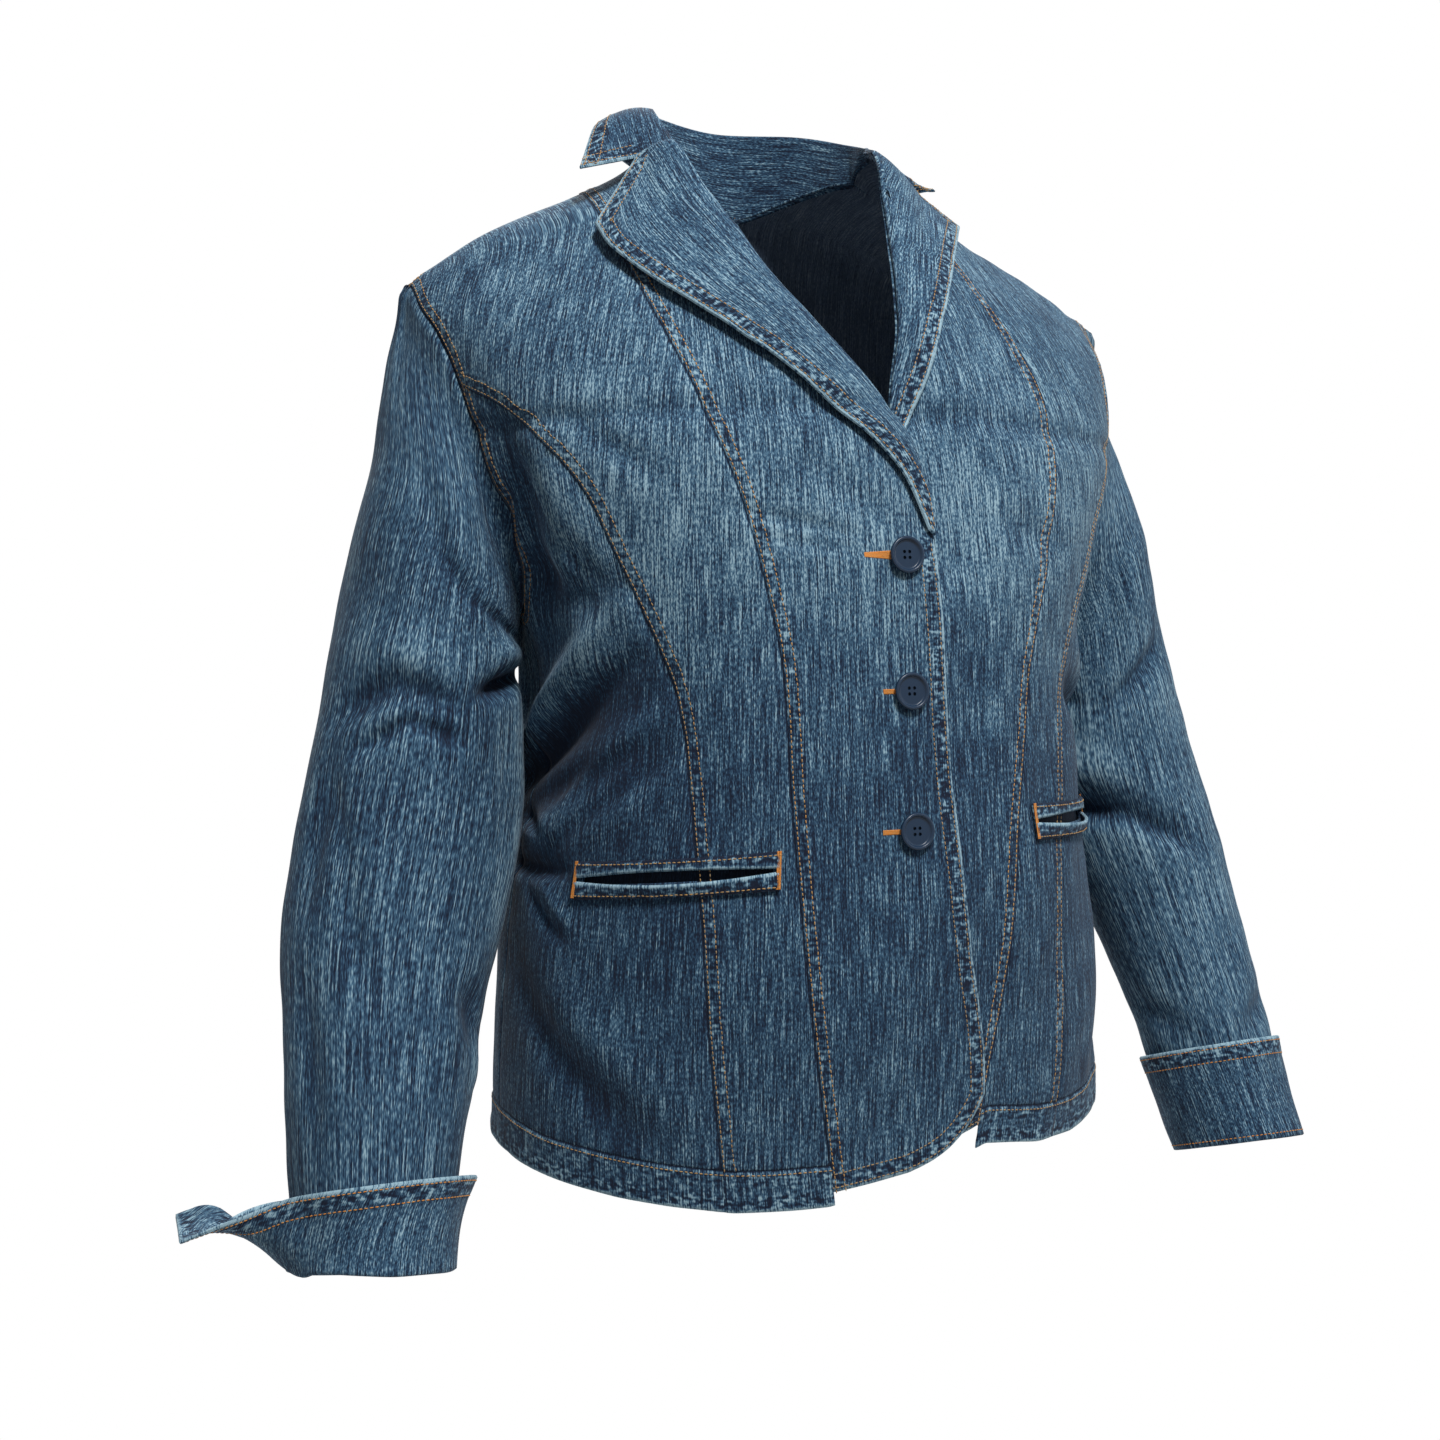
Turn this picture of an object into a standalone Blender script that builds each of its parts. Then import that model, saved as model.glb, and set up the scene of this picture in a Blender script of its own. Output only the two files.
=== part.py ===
"""Denim blazer with three buttons, in the hollow form it keeps when it is worn.

Metres, +Z up. The wearer faces -Y, so -X is the wearer's right. The origin lies on the centre plane at the
level where the middle of the shoulders carries the blazer. Every panel is a wall of cloth on one of two forms:
the torso, read by its angle from centre front and its distance up the cloth from the hem, and the sleeve, read
by its angle round the arm and its distance down from the shoulder. What lies on a panel is made from the
panel's own points, moved out.
"""
import math

import bpy
import numpy as np

# Cloth and seams, metres
WALL = 0.0015            # one layer of denim
DOUBLE_WALL = 0.0020     # two layers: lapels, collar, cuffs, welts
SEAM_GAP = 0.0003        # between neighbouring pieces
TIP_ROOM = 0.0018        # further room between panels and sleeve at the shoulder's tip
SEAM_ANGLE = 0.07        # degrees taken off each side of a lengthwise seam
RIDGE_UP = 0.727         # cloth from hem to shoulder seam
BAND_HEIGHT = 0.024      # hem band below the side panels

# Torso form: a row for each level. Angles run from centre front, positive to the wearer's left.
# cloth up from hem, height, half width, front depth, back depth, centre y, squareness, share of shoulder slope
TORSO_ROWS = np.array([
    (0.000, -0.592, 0.206, 0.156, 0.130, 0.000, 2.15, 0.00),   # hem
    (0.092, -0.500, 0.204, 0.160, 0.134, 0.000, 2.15, 0.00),   # hip
    (0.172, -0.420, 0.195, 0.160, 0.136, 0.000, 2.20, 0.00),   # pockets
    (0.242, -0.350, 0.184, 0.154, 0.131, 0.000, 2.25, 0.00),   # waist
    (0.312, -0.280, 0.179, 0.147, 0.124, 0.000, 2.35, 0.00),   # under the bust
    (0.377, -0.215, 0.196, 0.143, 0.122, 0.002, 2.40, 0.00),   # bust
    (0.443, -0.150, 0.215, 0.135, 0.125, 0.005, 2.35, 0.10),   # armhole front
    (0.508, -0.090, 0.228, 0.116, 0.123, 0.012, 2.25, 0.30),   # chest
    (0.572, -0.035, 0.239, 0.088, 0.113, 0.020, 2.15, 0.55),
    (0.625, 0.005, 0.246, 0.059, 0.098, 0.028, 2.10, 0.78),
    (0.667, 0.031, 0.248, 0.033, 0.077, 0.033, 2.05, 0.92),
    (0.697, 0.042, 0.248, 0.014, 0.045, 0.036, 2.00, 0.98),
    (0.727, 0.045, 0.248, 0.000, 0.000, 0.037, 2.00, 1.00),    # shoulder seam
])
SHOULDER_SLOPE = {"R": 0.41, "L": 0.455}   # fall for each metre out from the neck
SHOULDER_ROUND = {"R": 16.0, "L": 1.5}     # extra fall towards the shoulder point
NECK_HALF = {"R": 0.07, "L": 0.05}
ROUND_FROM, ROUND_POWER = 0.10, 3.5

# Lengthwise seams: cloth up from hem, degrees from centre front on the right side, on the left side
PRINCESS = np.array([
    (0.000, 13.0, 14.0), (0.030, 14.2, 15.0), (0.082, 16.5, 17.5), (0.182, 20.8, 24.0), (0.240, 22.5, 27.5),
    (0.340, 24.3, 31.5), (0.400, 25.9, 33.6), (0.465, 29.0, 33.2), (0.545, 32.4, 27.5), (0.600, 33.4, 22.5),
    (0.660, 33.8, 20.5), (0.727, 34.0, 20.5)])
SIDE_FRONT = np.array([
    (0.000, 31.2, 33.0), (0.020, 31.8, 33.6), (0.100, 34.6, 35.2), (0.176, 37.5, 37.6), (0.210, 39.2, 40.5),
    (0.294, 43.5, 45.0), (0.333, 46.8, 48.0), (0.373, 50.0, 51.5), (0.430, 55.0, 57.5), (0.463, 62.0, 62.5),
    (0.491, 70.5, 70.0), (0.520, 86.0, 78.0)])
# Front edge below the break, roll line above it and neckline at the top; negative lies past centre front
FRONT_EDGE = np.array([
    (0.000, -14.2, -8.0), (0.062, -14.2, -8.0), (0.100, -13.2, -8.0), (0.145, -11.2, -8.0), (0.233, -9.4, -8.0),
    (0.327, -8.2, -8.0), (0.388, -6.4, -8.0), (0.424, -5.0, -3.5), (0.451, -3.0, 0.5), (0.485, 2.4, 2.6),
    (0.518, 8.3, 4.6), (0.557, 14.0, 6.2), (0.600, 17.2, 7.9), (0.668, 19.5, 10.8), (0.727, 20.0, 13.0)])
UNDERLAP, UNDERLAP_LAPEL = 0.0022, 0.0036   # the left front lies this far in, and more below its lapel
BREAK_UP = 0.388         # where the front edge turns into the roll line
GORGE_UP = 0.668         # where the roll line meets the collar

# Armhole: an upright oval on the form
ARMHOLE_MID, ARMHOLE_HALF = 0.536, 0.191
ARMHOLE_FRONT = {"R": 10.0, "L": 25.0}     # degrees in front of the side
ARMHOLE_BACK = 24.0
ARMHOLE_POWER = 0.8

# Hem line: degrees from centre front, rise above the lowest point
HEM_LINE = np.array([(-180, 0.015), (-82, 0.014), (-52, 0.006), (-30, 0.000), (-14, 0.001), (0, 0.008),
                     (16, 0.025), (28, 0.019), (40, 0.016), (55, 0.019), (90, 0.020), (180, 0.015)], float)
HEM_LINE_TOP = 0.150     # the hem line's shape dies out here
CENTRE_HEM = {"R": (0.008, 0.030), "L": (0.015, 0.034)}   # rise at the princess seam, more at the round corner
CENTRE_HEM_POWER, CENTRE_HEM_TOP = 7.0, 0.150

# Pockets: degrees of inner and outer end, level of the mouth there
MOUTH_LEVEL, MOUTH_HALF = 0.193, 0.0055
MOUTH = {"R": (24.2, 64.0, 0.199, 0.188), "L": (28.5, 66.0, 0.218, 0.212)}
MOUTH_REACH = 0.095      # the panels' rows follow the slanted mouth this far up and down
WELT_HEIGHT, MOUTH_GAPE = 0.0085, 0.0030
BAG_DEPTH = 0.085
BAG_STAND = {"R": 0.0034, "L": 0.0024}    # behind the panels

# Soft folds of the worn cloth. The torso's: degrees and level at both ends, half width, depth out (+) or in (-)
FOLD_WIDTH = 1.4
TORSO_FOLDS = [
    ("right waist drag, trough", -99, 0.238, -46, 0.302, 0.0095, -0.0075),
    ("right waist drag, ridge", -99, 0.258, -52, 0.322, 0.0110, 0.0060),
    ("right waist drag, lower trough", -97, 0.214, -44, 0.272, 0.0085, -0.0060),
    ("right waist drag, lower ridge", -92, 0.196, -56, 0.232, 0.0100, 0.0045),
    ("right pocket pinch", -96, 0.200, -70, 0.196, 0.0080, -0.0055),
    ("right underarm hollow", -69, 0.480, -76, 0.340, 0.0130, -0.0080),
    ("right underarm ridge", -61, 0.440, -66, 0.345, 0.0110, 0.0035),
    ("right bust crease", -52, 0.466, -40, 0.428, 0.0070, -0.0035),
    ("right hip fold", -84, 0.128, -46, 0.040, 0.0100, -0.0045),
    ("right hip ridge", -70, 0.130, -40, 0.060, 0.0120, 0.0035),
    ("crease below the right lapel", -17, 0.436, -1, 0.396, 0.0080, -0.0025),
    ("left waist drag, trough", 98, 0.232, 48, 0.296, 0.0100, -0.0060),
    ("left waist drag, ridge", 98, 0.254, 56, 0.314, 0.0110, 0.0050),
    ("left bust crease", 20, 0.402, 36, 0.384, 0.0080, -0.0030),
    ("left underarm hollow", 66, 0.420, 74, 0.330, 0.0120, -0.0060),
    ("left hip fold", 84, 0.120, 52, 0.050, 0.0110, -0.0040),
    ("right back waist, trough", -112, 0.246, -166, 0.292, 0.0110, -0.0060),
    ("right back waist, ridge", -112, 0.270, -160, 0.312, 0.0120, 0.0045),
    ("left back waist, trough", 112, 0.240, 160, 0.280, 0.0110, -0.0055),
    ("left back waist, ridge", 114, 0.262, 168, 0.304, 0.0120, 0.0045),
    ("right shoulder blade", -112, 0.420, -128, 0.520, 0.0130, -0.0045),
    ("left shoulder blade", 112, 0.430, 126, 0.510, 0.0130, -0.0045),
    ("back hem wave, right", -150, 0.020, -146, 0.150, 0.0160, 0.0050),
    ("back hem wave, left", 138, 0.020, 144, 0.170, 0.0170, 0.0050),
]

# Sleeve form, wearer's left; the right is its mirror.
# down from shoulder, centre x, y, z, sideways tilt, forward pitch, half across, half deep
SLEEVE_ROWS = np.array([
    (0.000, 0.2165, 0.030, -0.1400, 71.6, 0, 0.1000, 0.060),
    (0.050, 0.2220, 0.036, -0.1670, 66.0, 0, 0.0850, 0.061),
    (0.100, 0.2271, 0.032, -0.2010, 52.0, 1, 0.0639, 0.062),
    (0.160, 0.2382, 0.025, -0.2420, 29.0, 3, 0.0529, 0.061),
    (0.220, 0.2464, 0.018, -0.2930, 10.0, 6, 0.0537, 0.058),
    (0.290, 0.2576, 0.009, -0.3620, 6.0, 9, 0.0586, 0.056),
    (0.370, 0.2758, -0.016, -0.4440, 6.5, 15, 0.0580, 0.052),
    (0.450, 0.2890, -0.046, -0.5240, 4.0, 19, 0.0492, 0.046),
    (0.500, 0.2950, -0.062, -0.5730, -1.0, 20, 0.0462, 0.044),
    (0.555, 0.3020, -0.083, -0.6240, -1.0, 20, 0.0450, 0.045)])
SLEEVE_LENGTH = {"R": 0.548, "L": 0.545}
SLEEVE_END = {"R": np.array([(0, -0.0100), (50, -0.0050), (95, 0.0020), (140, 0.0045), (190, 0.0030), (270, 0.0),
                             (360, -0.0100)]),
              "L": np.array([(0, 0.0), (360, 0.0)])}    # degrees round, length more
SLEEVE_WIDTH = {"R": 1.09, "L": 0.89}    # the right sleeve hangs a little wider
WRIST_WIDTH, WRIST_FROM = {"R": 1.03, "L": 0.89}, 0.40
SLEEVE_FRONT_SEAM, SLEEVE_BACK_SEAM = 134.0, 280.0    # degrees round, moved to the nearest column
SLEEVE_SEAM_ANGLE, HEAD_SEAM_EXTRA = 0.19, 2.5    # degrees taken off each side of those seams, more at the head
CAP_PUFF = 0.0020        # fullness just below the armhole seam
CAP_BLEND = 0.13         # the armhole's shape dies out here
SLEEVE_FOLDS = {
    # degrees round and distance down at both ends, half width, depth
    "R": [("elbow arc, outer", 28, 0.246, 62, 0.226, 0.0070, -0.0065),
          ("elbow arc, front", 62, 0.226, 100, 0.238, 0.0070, -0.0065),
          ("elbow swell", 30, 0.206, 96, 0.208, 0.0120, 0.0040),
          ("inner pinch", 118, 0.222, 168, 0.196, 0.0075, -0.0070),
          ("inner swell", 120, 0.192, 160, 0.172, 0.0100, 0.0040),
          ("forearm fold", 32, 0.270, 28, 0.352, 0.0065, -0.0045),
          ("lower forearm fold", 30, 0.400, 40, 0.478, 0.0070, -0.0040),
          ("inner wrist fold", 128, 0.396, 168, 0.430, 0.0085, -0.0060),
          ("cap hollow", 62, 0.110, 92, 0.190, 0.0120, -0.0045),
          ("back elbow, high", 236, 0.236, 300, 0.222, 0.0080, -0.0065),
          ("back elbow, low", 226, 0.290, 286, 0.272, 0.0085, -0.0060)],
    "L": [("inner fullness", 206, 0.190, 206, 0.330, 0.0300, 0.0110),
          ("elbow fold, inner", 196, 0.300, 128, 0.316, 0.0080, -0.0070),
          ("elbow fold, front", 128, 0.316, 84, 0.345, 0.0075, -0.0050),
          ("elbow swell", 190, 0.276, 118, 0.290, 0.0110, 0.0045),
          ("cap hollow", 92, 0.100, 118, 0.190, 0.0110, -0.0045),
          ("upper drag", 60, 0.200, 128, 0.250, 0.0080, -0.0035),
          ("wrist fold", 40, 0.452, 84, 0.470, 0.0070, -0.0045),
          ("inner wrist fold", 190, 0.440, 140, 0.470, 0.0080, -0.0040),
          ("back elbow, high", 240, 0.240, 304, 0.226, 0.0080, -0.0060),
          ("back elbow, low", 228, 0.300, 290, 0.284, 0.0085, -0.0055)]}

# Lapels: level on the roll line, then degrees, level and lift of the outer edge
LAPEL_LIFT = 3 * SEAM_GAP + DOUBLE_WALL
LAPELS = {
    "R": np.array([(0.388, -5.6, 0.391, 0.0036), (0.424, -0.2, 0.430, 0.0042), (0.451, 6.5, 0.456, 0.0050),
                   (0.485, 14.5, 0.486, 0.0058), (0.518, 21.5, 0.514, 0.0065), (0.557, 28.8, 0.548, 0.0075),
                   (0.600, 34.0, 0.586, 0.0085), (0.668, 35.5, 0.624, 0.0090)]),
    "L": np.array([(0.388, -7.4, 0.391, 0.0031), (0.424, -1.5, 0.430, 0.0031), (0.451, 3.4, 0.456, 0.0034),
                   (0.485, 7.6, 0.486, 0.0060), (0.518, 11.3, 0.520, 0.0085), (0.557, 14.6, 0.553, 0.0110),
                   (0.600, 18.5, 0.590, 0.0120), (0.668, 25.0, 0.648, 0.0110)])}
NOTCH = {"R": (25.1, 0.676, 0.007), "L": (21.0, 0.690, 0.012)}    # degrees, level, lift
NOTCH_SHARE, NOTCH_POWER = 0.45, 5.0
GORGE_HUMP = 0.0035      # the lapel rides over the rise of the roll line
LAPEL_START = 0.002      # above the break
ROLL_LIFT = np.array([(0.388, 0.0), (0.500, 0.0), (0.557, 0.004), (0.620, 0.013), (0.668, 0.020), (0.700, 0.012),
                      (0.727, 0.0)])       # how far the roll line stands off the form
ROLL_LIFT_REACH = {"R": 6.5, "L": 4.5}    # degrees
LAPEL_BULGE, LAPEL_BULGE_FROM = 0.0035, {"R": 0.0, "L": 0.3}

# Collar: crest and outer edge at stations round the neck, from the right gorge to the left one
COLLAR = [
    ("right shoulder", (-0.0835, 0.045, 0.078), (-0.1200, 0.048, 0.066)),
    ("right back", (-0.0620, 0.088, 0.085), (-0.0800, 0.122, 0.065)),
    ("centre back", (-0.0125, 0.112, 0.086), (-0.0125, 0.143, 0.046)),
    ("left back", (0.0370, 0.088, 0.083), (0.0560, 0.122, 0.050)),
    ("left shoulder", (0.0565, 0.045, 0.069), (0.0930, 0.048, 0.043)),
]
COLLAR_TIPS = {"R": (-0.1493, -0.002, 0.025), "L": (0.0981, -0.002, 0.033)}
NECK_DIP, NECK_DIP_POWER = 0.064, 1.5
GORGE_GAP = 0.0007
FOLD_SHARE, COLLAR_HUMP = 0.4, 0.0050

# Cuffs, turned back over the sleeve
CUFF_HEIGHT = {"R": 0.046, "L": 0.066}
CUFF_FLARE = {"R": 0.0080, "L": 0.0020}
CUFF_STAND = 0.0006      # clear of the sleeve
CUFF_DROP = 0.0015       # the fold hangs this far below the sleeve's end
TAB_LENGTH, TAB_FROM = 0.070, 34.0
TAB_AWAY, TAB_FORWARD = (-0.86, 0.32, -0.38), (-0.05, -1.0, 0.05)
TAB_LEAN, TAB_CURL = 96.0, 95.0    # degrees: the tab's twist to the front, and how far it curls on the way
TAB_NARROW = 0.16        # share of the height lost at the tip
CUFF_START, CUFF_SWING_FROM = 353.0, 322.0
CUFF_SWING = 38.0        # degrees that the open end behind the tab swings out

# Buttons
BUTTON_RADIUS, BUTTON_THICK, BUTTON_RIM = 0.011, 0.0034, 0.0022
BUTTON_LEVELS = (0.378, 0.299, 0.218)
BUTTON_ANGLE = 0.8
CUFF_BUTTON_RADIUS = 0.0075
BUTTON_SIDES, HOLE_SIDES = 24, 8
HOLE_SPREAD, HOLE_RADIUS = 0.22, 0.095   # of the radius

SIDES = {"R": -1.0, "L": 1.0}

DENIM = (0.075, 0.130, 0.205)
DENIM_DARK = (0.045, 0.085, 0.150)
BUTTON_NAVY = (0.020, 0.032, 0.060)


def spline(x, table):
    """Smooth curve through a table's rows: first column against the others."""
    xs, ys = table[:, 0], table[:, 1:]
    step = np.diff(xs)
    slope = np.diff(ys, axis=0) / step[:, None]
    tangent = np.vstack([slope[:1], (slope[:-1] * step[1:, None] + slope[1:] * step[:-1, None])
                         / (step[1:] + step[:-1])[:, None], slope[-1:]])
    x = np.clip(np.asarray(x, float), xs[0], xs[-1])
    k = np.clip(np.searchsorted(xs, x, side="right") - 1, 0, len(xs) - 2)
    u = ((x - xs[k]) / step[k])[..., None]
    h = step[k][..., None]
    return ((2 * u**3 - 3 * u**2 + 1) * ys[k] + (u**3 - 2 * u**2 + u) * h * tangent[k]
            + (3 * u**2 - 2 * u**3) * ys[k + 1] + (u**3 - u**2) * h * tangent[k + 1])


def column(x, table, side):
    """Value of a two-sided table at x: right column or left column."""
    return spline(x, table)[..., 0 if side == "R" else 1]


def smooth(x):
    x = np.clip(x, 0.0, 1.0)
    return x * x * (3 - 2 * x)


def unit(v):
    return v / np.maximum(np.linalg.norm(v, axis=-1, keepdims=True), 1e-12)


def torso_form(angle, up):
    """Point of the smooth torso form at degrees from centre front and metres of cloth up from the hem."""
    angle, up = np.broadcast_arrays(np.asarray(angle, float), np.asarray(up, float))
    height, half, front, back, centre, power, share = np.moveaxis(spline(up, TORSO_ROWS), -1, 0)
    c, s = np.cos(np.radians(angle)), np.sin(np.radians(angle))
    reach = (np.abs(c)**power + np.abs(s)**power) ** (-1 / power)
    x = half * reach * s
    y = centre - np.where(c > 0, front, back) * reach * c
    out = np.abs(x)
    pairs = SHOULDER_SLOPE, SHOULDER_ROUND, NECK_HALF
    slope, extra, neck = (np.where(x < 0, pair["R"], pair["L"]) for pair in pairs)
    fall = slope * np.maximum(0, out - neck) + extra * np.maximum(0, out - ROUND_FROM)**ROUND_POWER
    return np.stack([x, y, height - share * fall], -1)


def torso_normal(angle, up):
    """Outward normal of the torso form; straight up at the shoulder seam, so that front and back meet there."""
    up = np.minimum(np.asarray(up, float), RIDGE_UP - 0.0012)
    across = torso_form(angle + 0.2, up) - torso_form(angle - 0.2, up)
    along = torso_form(angle, up + 0.001) - torso_form(angle, up - 0.001)
    keep = smooth((up - RIDGE_UP + 0.030) / 0.028)[..., None]
    return unit(unit(np.cross(across, along)) * (1 - keep) + np.array([0.0, 0.0, 1.0]) * keep)


def fold_sum(across, along, folds, metres_per_degree):
    """Sum of soft creases, each a bell across its line that dies out at its ends."""
    total = np.zeros(np.broadcast(across, along).shape)
    for _, a0, b0, a1, b1, width, depth in folds:
        start = np.array([a0 * metres_per_degree, b0])
        run = np.array([a1 * metres_per_degree, b1]) - start
        length = math.hypot(*run)
        du, dv = across * metres_per_degree - start[0], along - start[1]
        t = np.clip((du * run[0] + dv * run[1]) / length**2, 0, 1)
        gap2 = (du - t * run[0])**2 + (dv - t * run[1])**2
        total = total + depth * np.exp(-gap2 / (width * FOLD_WIDTH)**2) * np.sin(np.pi * (0.12 + 0.76 * t))
    return total


def underlap(angle, up):
    """How far the left front lies behind the right one near centre front."""
    edge = -column(up, FRONT_EDGE, "R")
    deep = UNDERLAP + UNDERLAP_LAPEL * smooth((up - 0.345) / 0.035)
    return deep * (1 - smooth((angle - edge - 4.5) / 12.0)) * (1 - smooth((up - 0.50) / 0.06))


def torso(angle, up, out=0.0, side=None):
    """Cloth surface of the torso: form, folds, rise of the roll line, underlap, and out metres more."""
    angle, up = np.broadcast_arrays(np.asarray(angle, float), np.asarray(up, float))
    lift = fold_sum(angle, up, TORSO_FOLDS, math.radians(0.19)) + out
    if side:
        own = SIDES[side] * angle
        roll = column(up, FRONT_EDGE, side)
        lift = lift + spline(up, ROLL_LIFT)[..., 0] * np.exp(-((own - roll) / ROLL_LIFT_REACH[side])**2)
    if side == "L":
        lift = lift - underlap(angle, up)
    return torso_form(angle, up) + torso_normal(angle, up) * lift[..., None]


def level(angle, nominal, side):
    """Real level of a row: rows follow the hem line low down and the pocket mouth at the hip."""
    own = SIDES[side] * angle
    hem = np.interp(angle, HEM_LINE[:, 0], HEM_LINE[:, 1]) * (1 - smooth(nominal / HEM_LINE_TOP))
    inner, outer, up_inner, up_outer = MOUTH[side]
    share = np.clip((own - inner) / (outer - inner), 0, 1)
    shift = (up_inner + (up_outer - up_inner) * share - MOUTH_LEVEL) * (1 - smooth((own - outer) / 20.0))
    near = 1 - smooth((np.abs(nominal - MOUTH_LEVEL) - MOUTH_HALF) / MOUTH_REACH)
    return nominal + hem + shift * near


def armhole_angle(up, side, back=False):
    """Degrees from centre front, own side, of the armhole edge at a level."""
    c = np.clip((np.asarray(up, float) - ARMHOLE_MID) / ARMHOLE_HALF, -1, 1)
    s = np.sqrt(1 - c * c)**ARMHOLE_POWER
    return 90 + ARMHOLE_BACK * s if back else 90 - ARMHOLE_FRONT[side] * s


def armhole_up(around):
    return ARMHOLE_MID + ARMHOLE_HALF * np.cos(np.radians(around))


def join_around(side):
    """Degrees round the armhole, from the shoulder point forward, where the side-front seam meets it."""
    around = np.linspace(60, 130, 701)
    up = armhole_up(around)
    gap = column(up, SIDE_FRONT, side) - armhole_angle(up, side)
    return float(around[np.argmin(np.abs(gap))])


def stations(side):
    """Corners shared by the armhole, the panels round it and the sleeve, in degrees round the armhole."""
    join = join_around(side)
    return np.linspace(0, join, 7), np.linspace(join, 180, 6), np.linspace(180, 360, 10)


def sleeve_form(around, down, side):
    """Point of the smooth sleeve form at degrees round the arm and metres down from the shoulder point."""
    around, down = np.broadcast_arrays(np.asarray(around, float), np.asarray(down, float))

    def ring(at):
        x, y, z, tilt, pitch, across, deep = np.moveaxis(spline(at, SLEEVE_ROWS), -1, 0)
        tilt, pitch = np.radians(tilt), np.radians(pitch)
        wrist = smooth((at - WRIST_FROM) / 0.15)
        across = across * (SLEEVE_WIDTH[side] * (1 - wrist) + WRIST_WIDTH[side] * wrist)
        c, s = np.cos(np.radians(around)), np.sin(np.radians(around))
        return np.stack([x + across * c * np.cos(tilt), y - deep * s * np.cos(pitch),
                         z + across * c * np.sin(tilt) + deep * s * np.sin(pitch)], -1)

    keep = (1 - smooth(down / CAP_BLEND))[..., None]
    shape = ring(down) + (sleeve_head(around, side) - ring(np.zeros_like(down))) * keep
    return shape * np.array([SIDES[side], 1, 1])


def sleeve_head(around, side):
    """Edge of the sleeve along the armhole, wearer's left, clear of the panels' walls."""
    up = armhole_up(around)
    back = np.sin(np.radians(around)) < 0
    angle = np.where(back, armhole_angle(up, side, True), armhole_angle(up, side))
    mirror = np.array([SIDES[side], 1, 1])
    edge = torso(SIDES[side] * angle, np.minimum(up, RIDGE_UP - 1e-4)) * mirror
    face = torso_normal(SIDES[side] * angle, up) * mirror
    step = 12.0
    ahead = torso_form(*edge_angles(around + step, side)) - torso_form(*edge_angles(around - step, side))
    outward = unit(np.cross(face, unit(ahead)))
    tip = np.cos(np.radians(around))[..., None] > 0.99
    outward = np.where(tip, np.array([1.0, 0.0, 0.0]), outward)
    own = np.stack([np.cos(np.radians(around)), -np.sin(np.radians(around)), np.zeros_like(up)], -1)
    side_room = SEAM_GAP + WALL * np.clip(np.sum(own * outward, -1), 0, 1)
    side_room = side_room + TIP_ROOM * smooth((np.cos(np.radians(around)) - 0.8) / 0.2)
    face_room = 2 * SEAM_GAP * np.clip(-np.sum(own * face, -1), 0, 1)
    return edge + outward * side_room[..., None] + face * face_room[..., None]


def edge_angles(around, side):
    up = armhole_up(around)
    back = np.sin(np.radians(around)) < 0
    return np.where(back, armhole_angle(up, side, True), armhole_angle(up, side)), up


def sleeve_normal(around, down, side):
    """Outward normal of the sleeve; square to the arm at the very top, so that the wall hangs in the armhole."""
    down = np.asarray(down, float)
    turn = sleeve_form(around + 1.0, down, side) - sleeve_form(around - 1.0, down, side)
    fall = sleeve_form(around, down + 0.002, side) - sleeve_form(around, np.maximum(down - 0.002, 0), side)
    normal = unit(np.cross(turn, fall)) * SIDES[side]
    own = np.stack([SIDES[side] * np.cos(np.radians(around)), -np.sin(np.radians(around)),
                    np.zeros_like(np.asarray(around, float) + down)], -1)
    keep = (1 - smooth(down / 0.012))[..., None]
    return unit(normal * (1 - keep) + own * keep)


def sleeve(around, down, side, out=0.0):
    """Cloth surface of the sleeve: form, folds, and out metres more."""
    around, down = np.broadcast_arrays(np.asarray(around, float), np.asarray(down, float))
    lift = fold_sum(np.mod(around, 360), down, SLEEVE_FOLDS[side], math.radians(0.06)) + out
    lift = lift + CAP_PUFF * smooth(down / 0.008) * (1 - smooth((down - 0.02) / 0.05)) * smooth(
        2 * np.cos(np.radians(around)) + 1)
    return sleeve_form(around, down, side) + sleeve_normal(around, down, side) * lift[..., None]


# ---------------------------------------------------------------- meshes

def material(name, colour, rough):
    mat = bpy.data.materials.new(name)
    mat.use_nodes = True
    shader = mat.node_tree.nodes["Principled BSDF"]
    shader.inputs["Base Color"].default_value = (*colour, 1)
    shader.inputs["Roughness"].default_value = rough
    shader.inputs["Metallic"].default_value = 0.0
    return mat


def add_object(name, verts, faces, mat_name, colour, rough):
    mesh = bpy.data.meshes.new(name)
    mesh.from_pydata([tuple(map(float, v)) for v in verts], [], faces)
    mesh.materials.append(material(mat_name + "_" + name, colour, rough))
    mesh.validate()
    mesh.shade_smooth()
    mesh.set_sharp_from_angle(angle=math.radians(40))
    obj = bpy.data.objects.new(name, mesh)
    bpy.context.scene.collection.objects.link(obj)
    return obj


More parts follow.
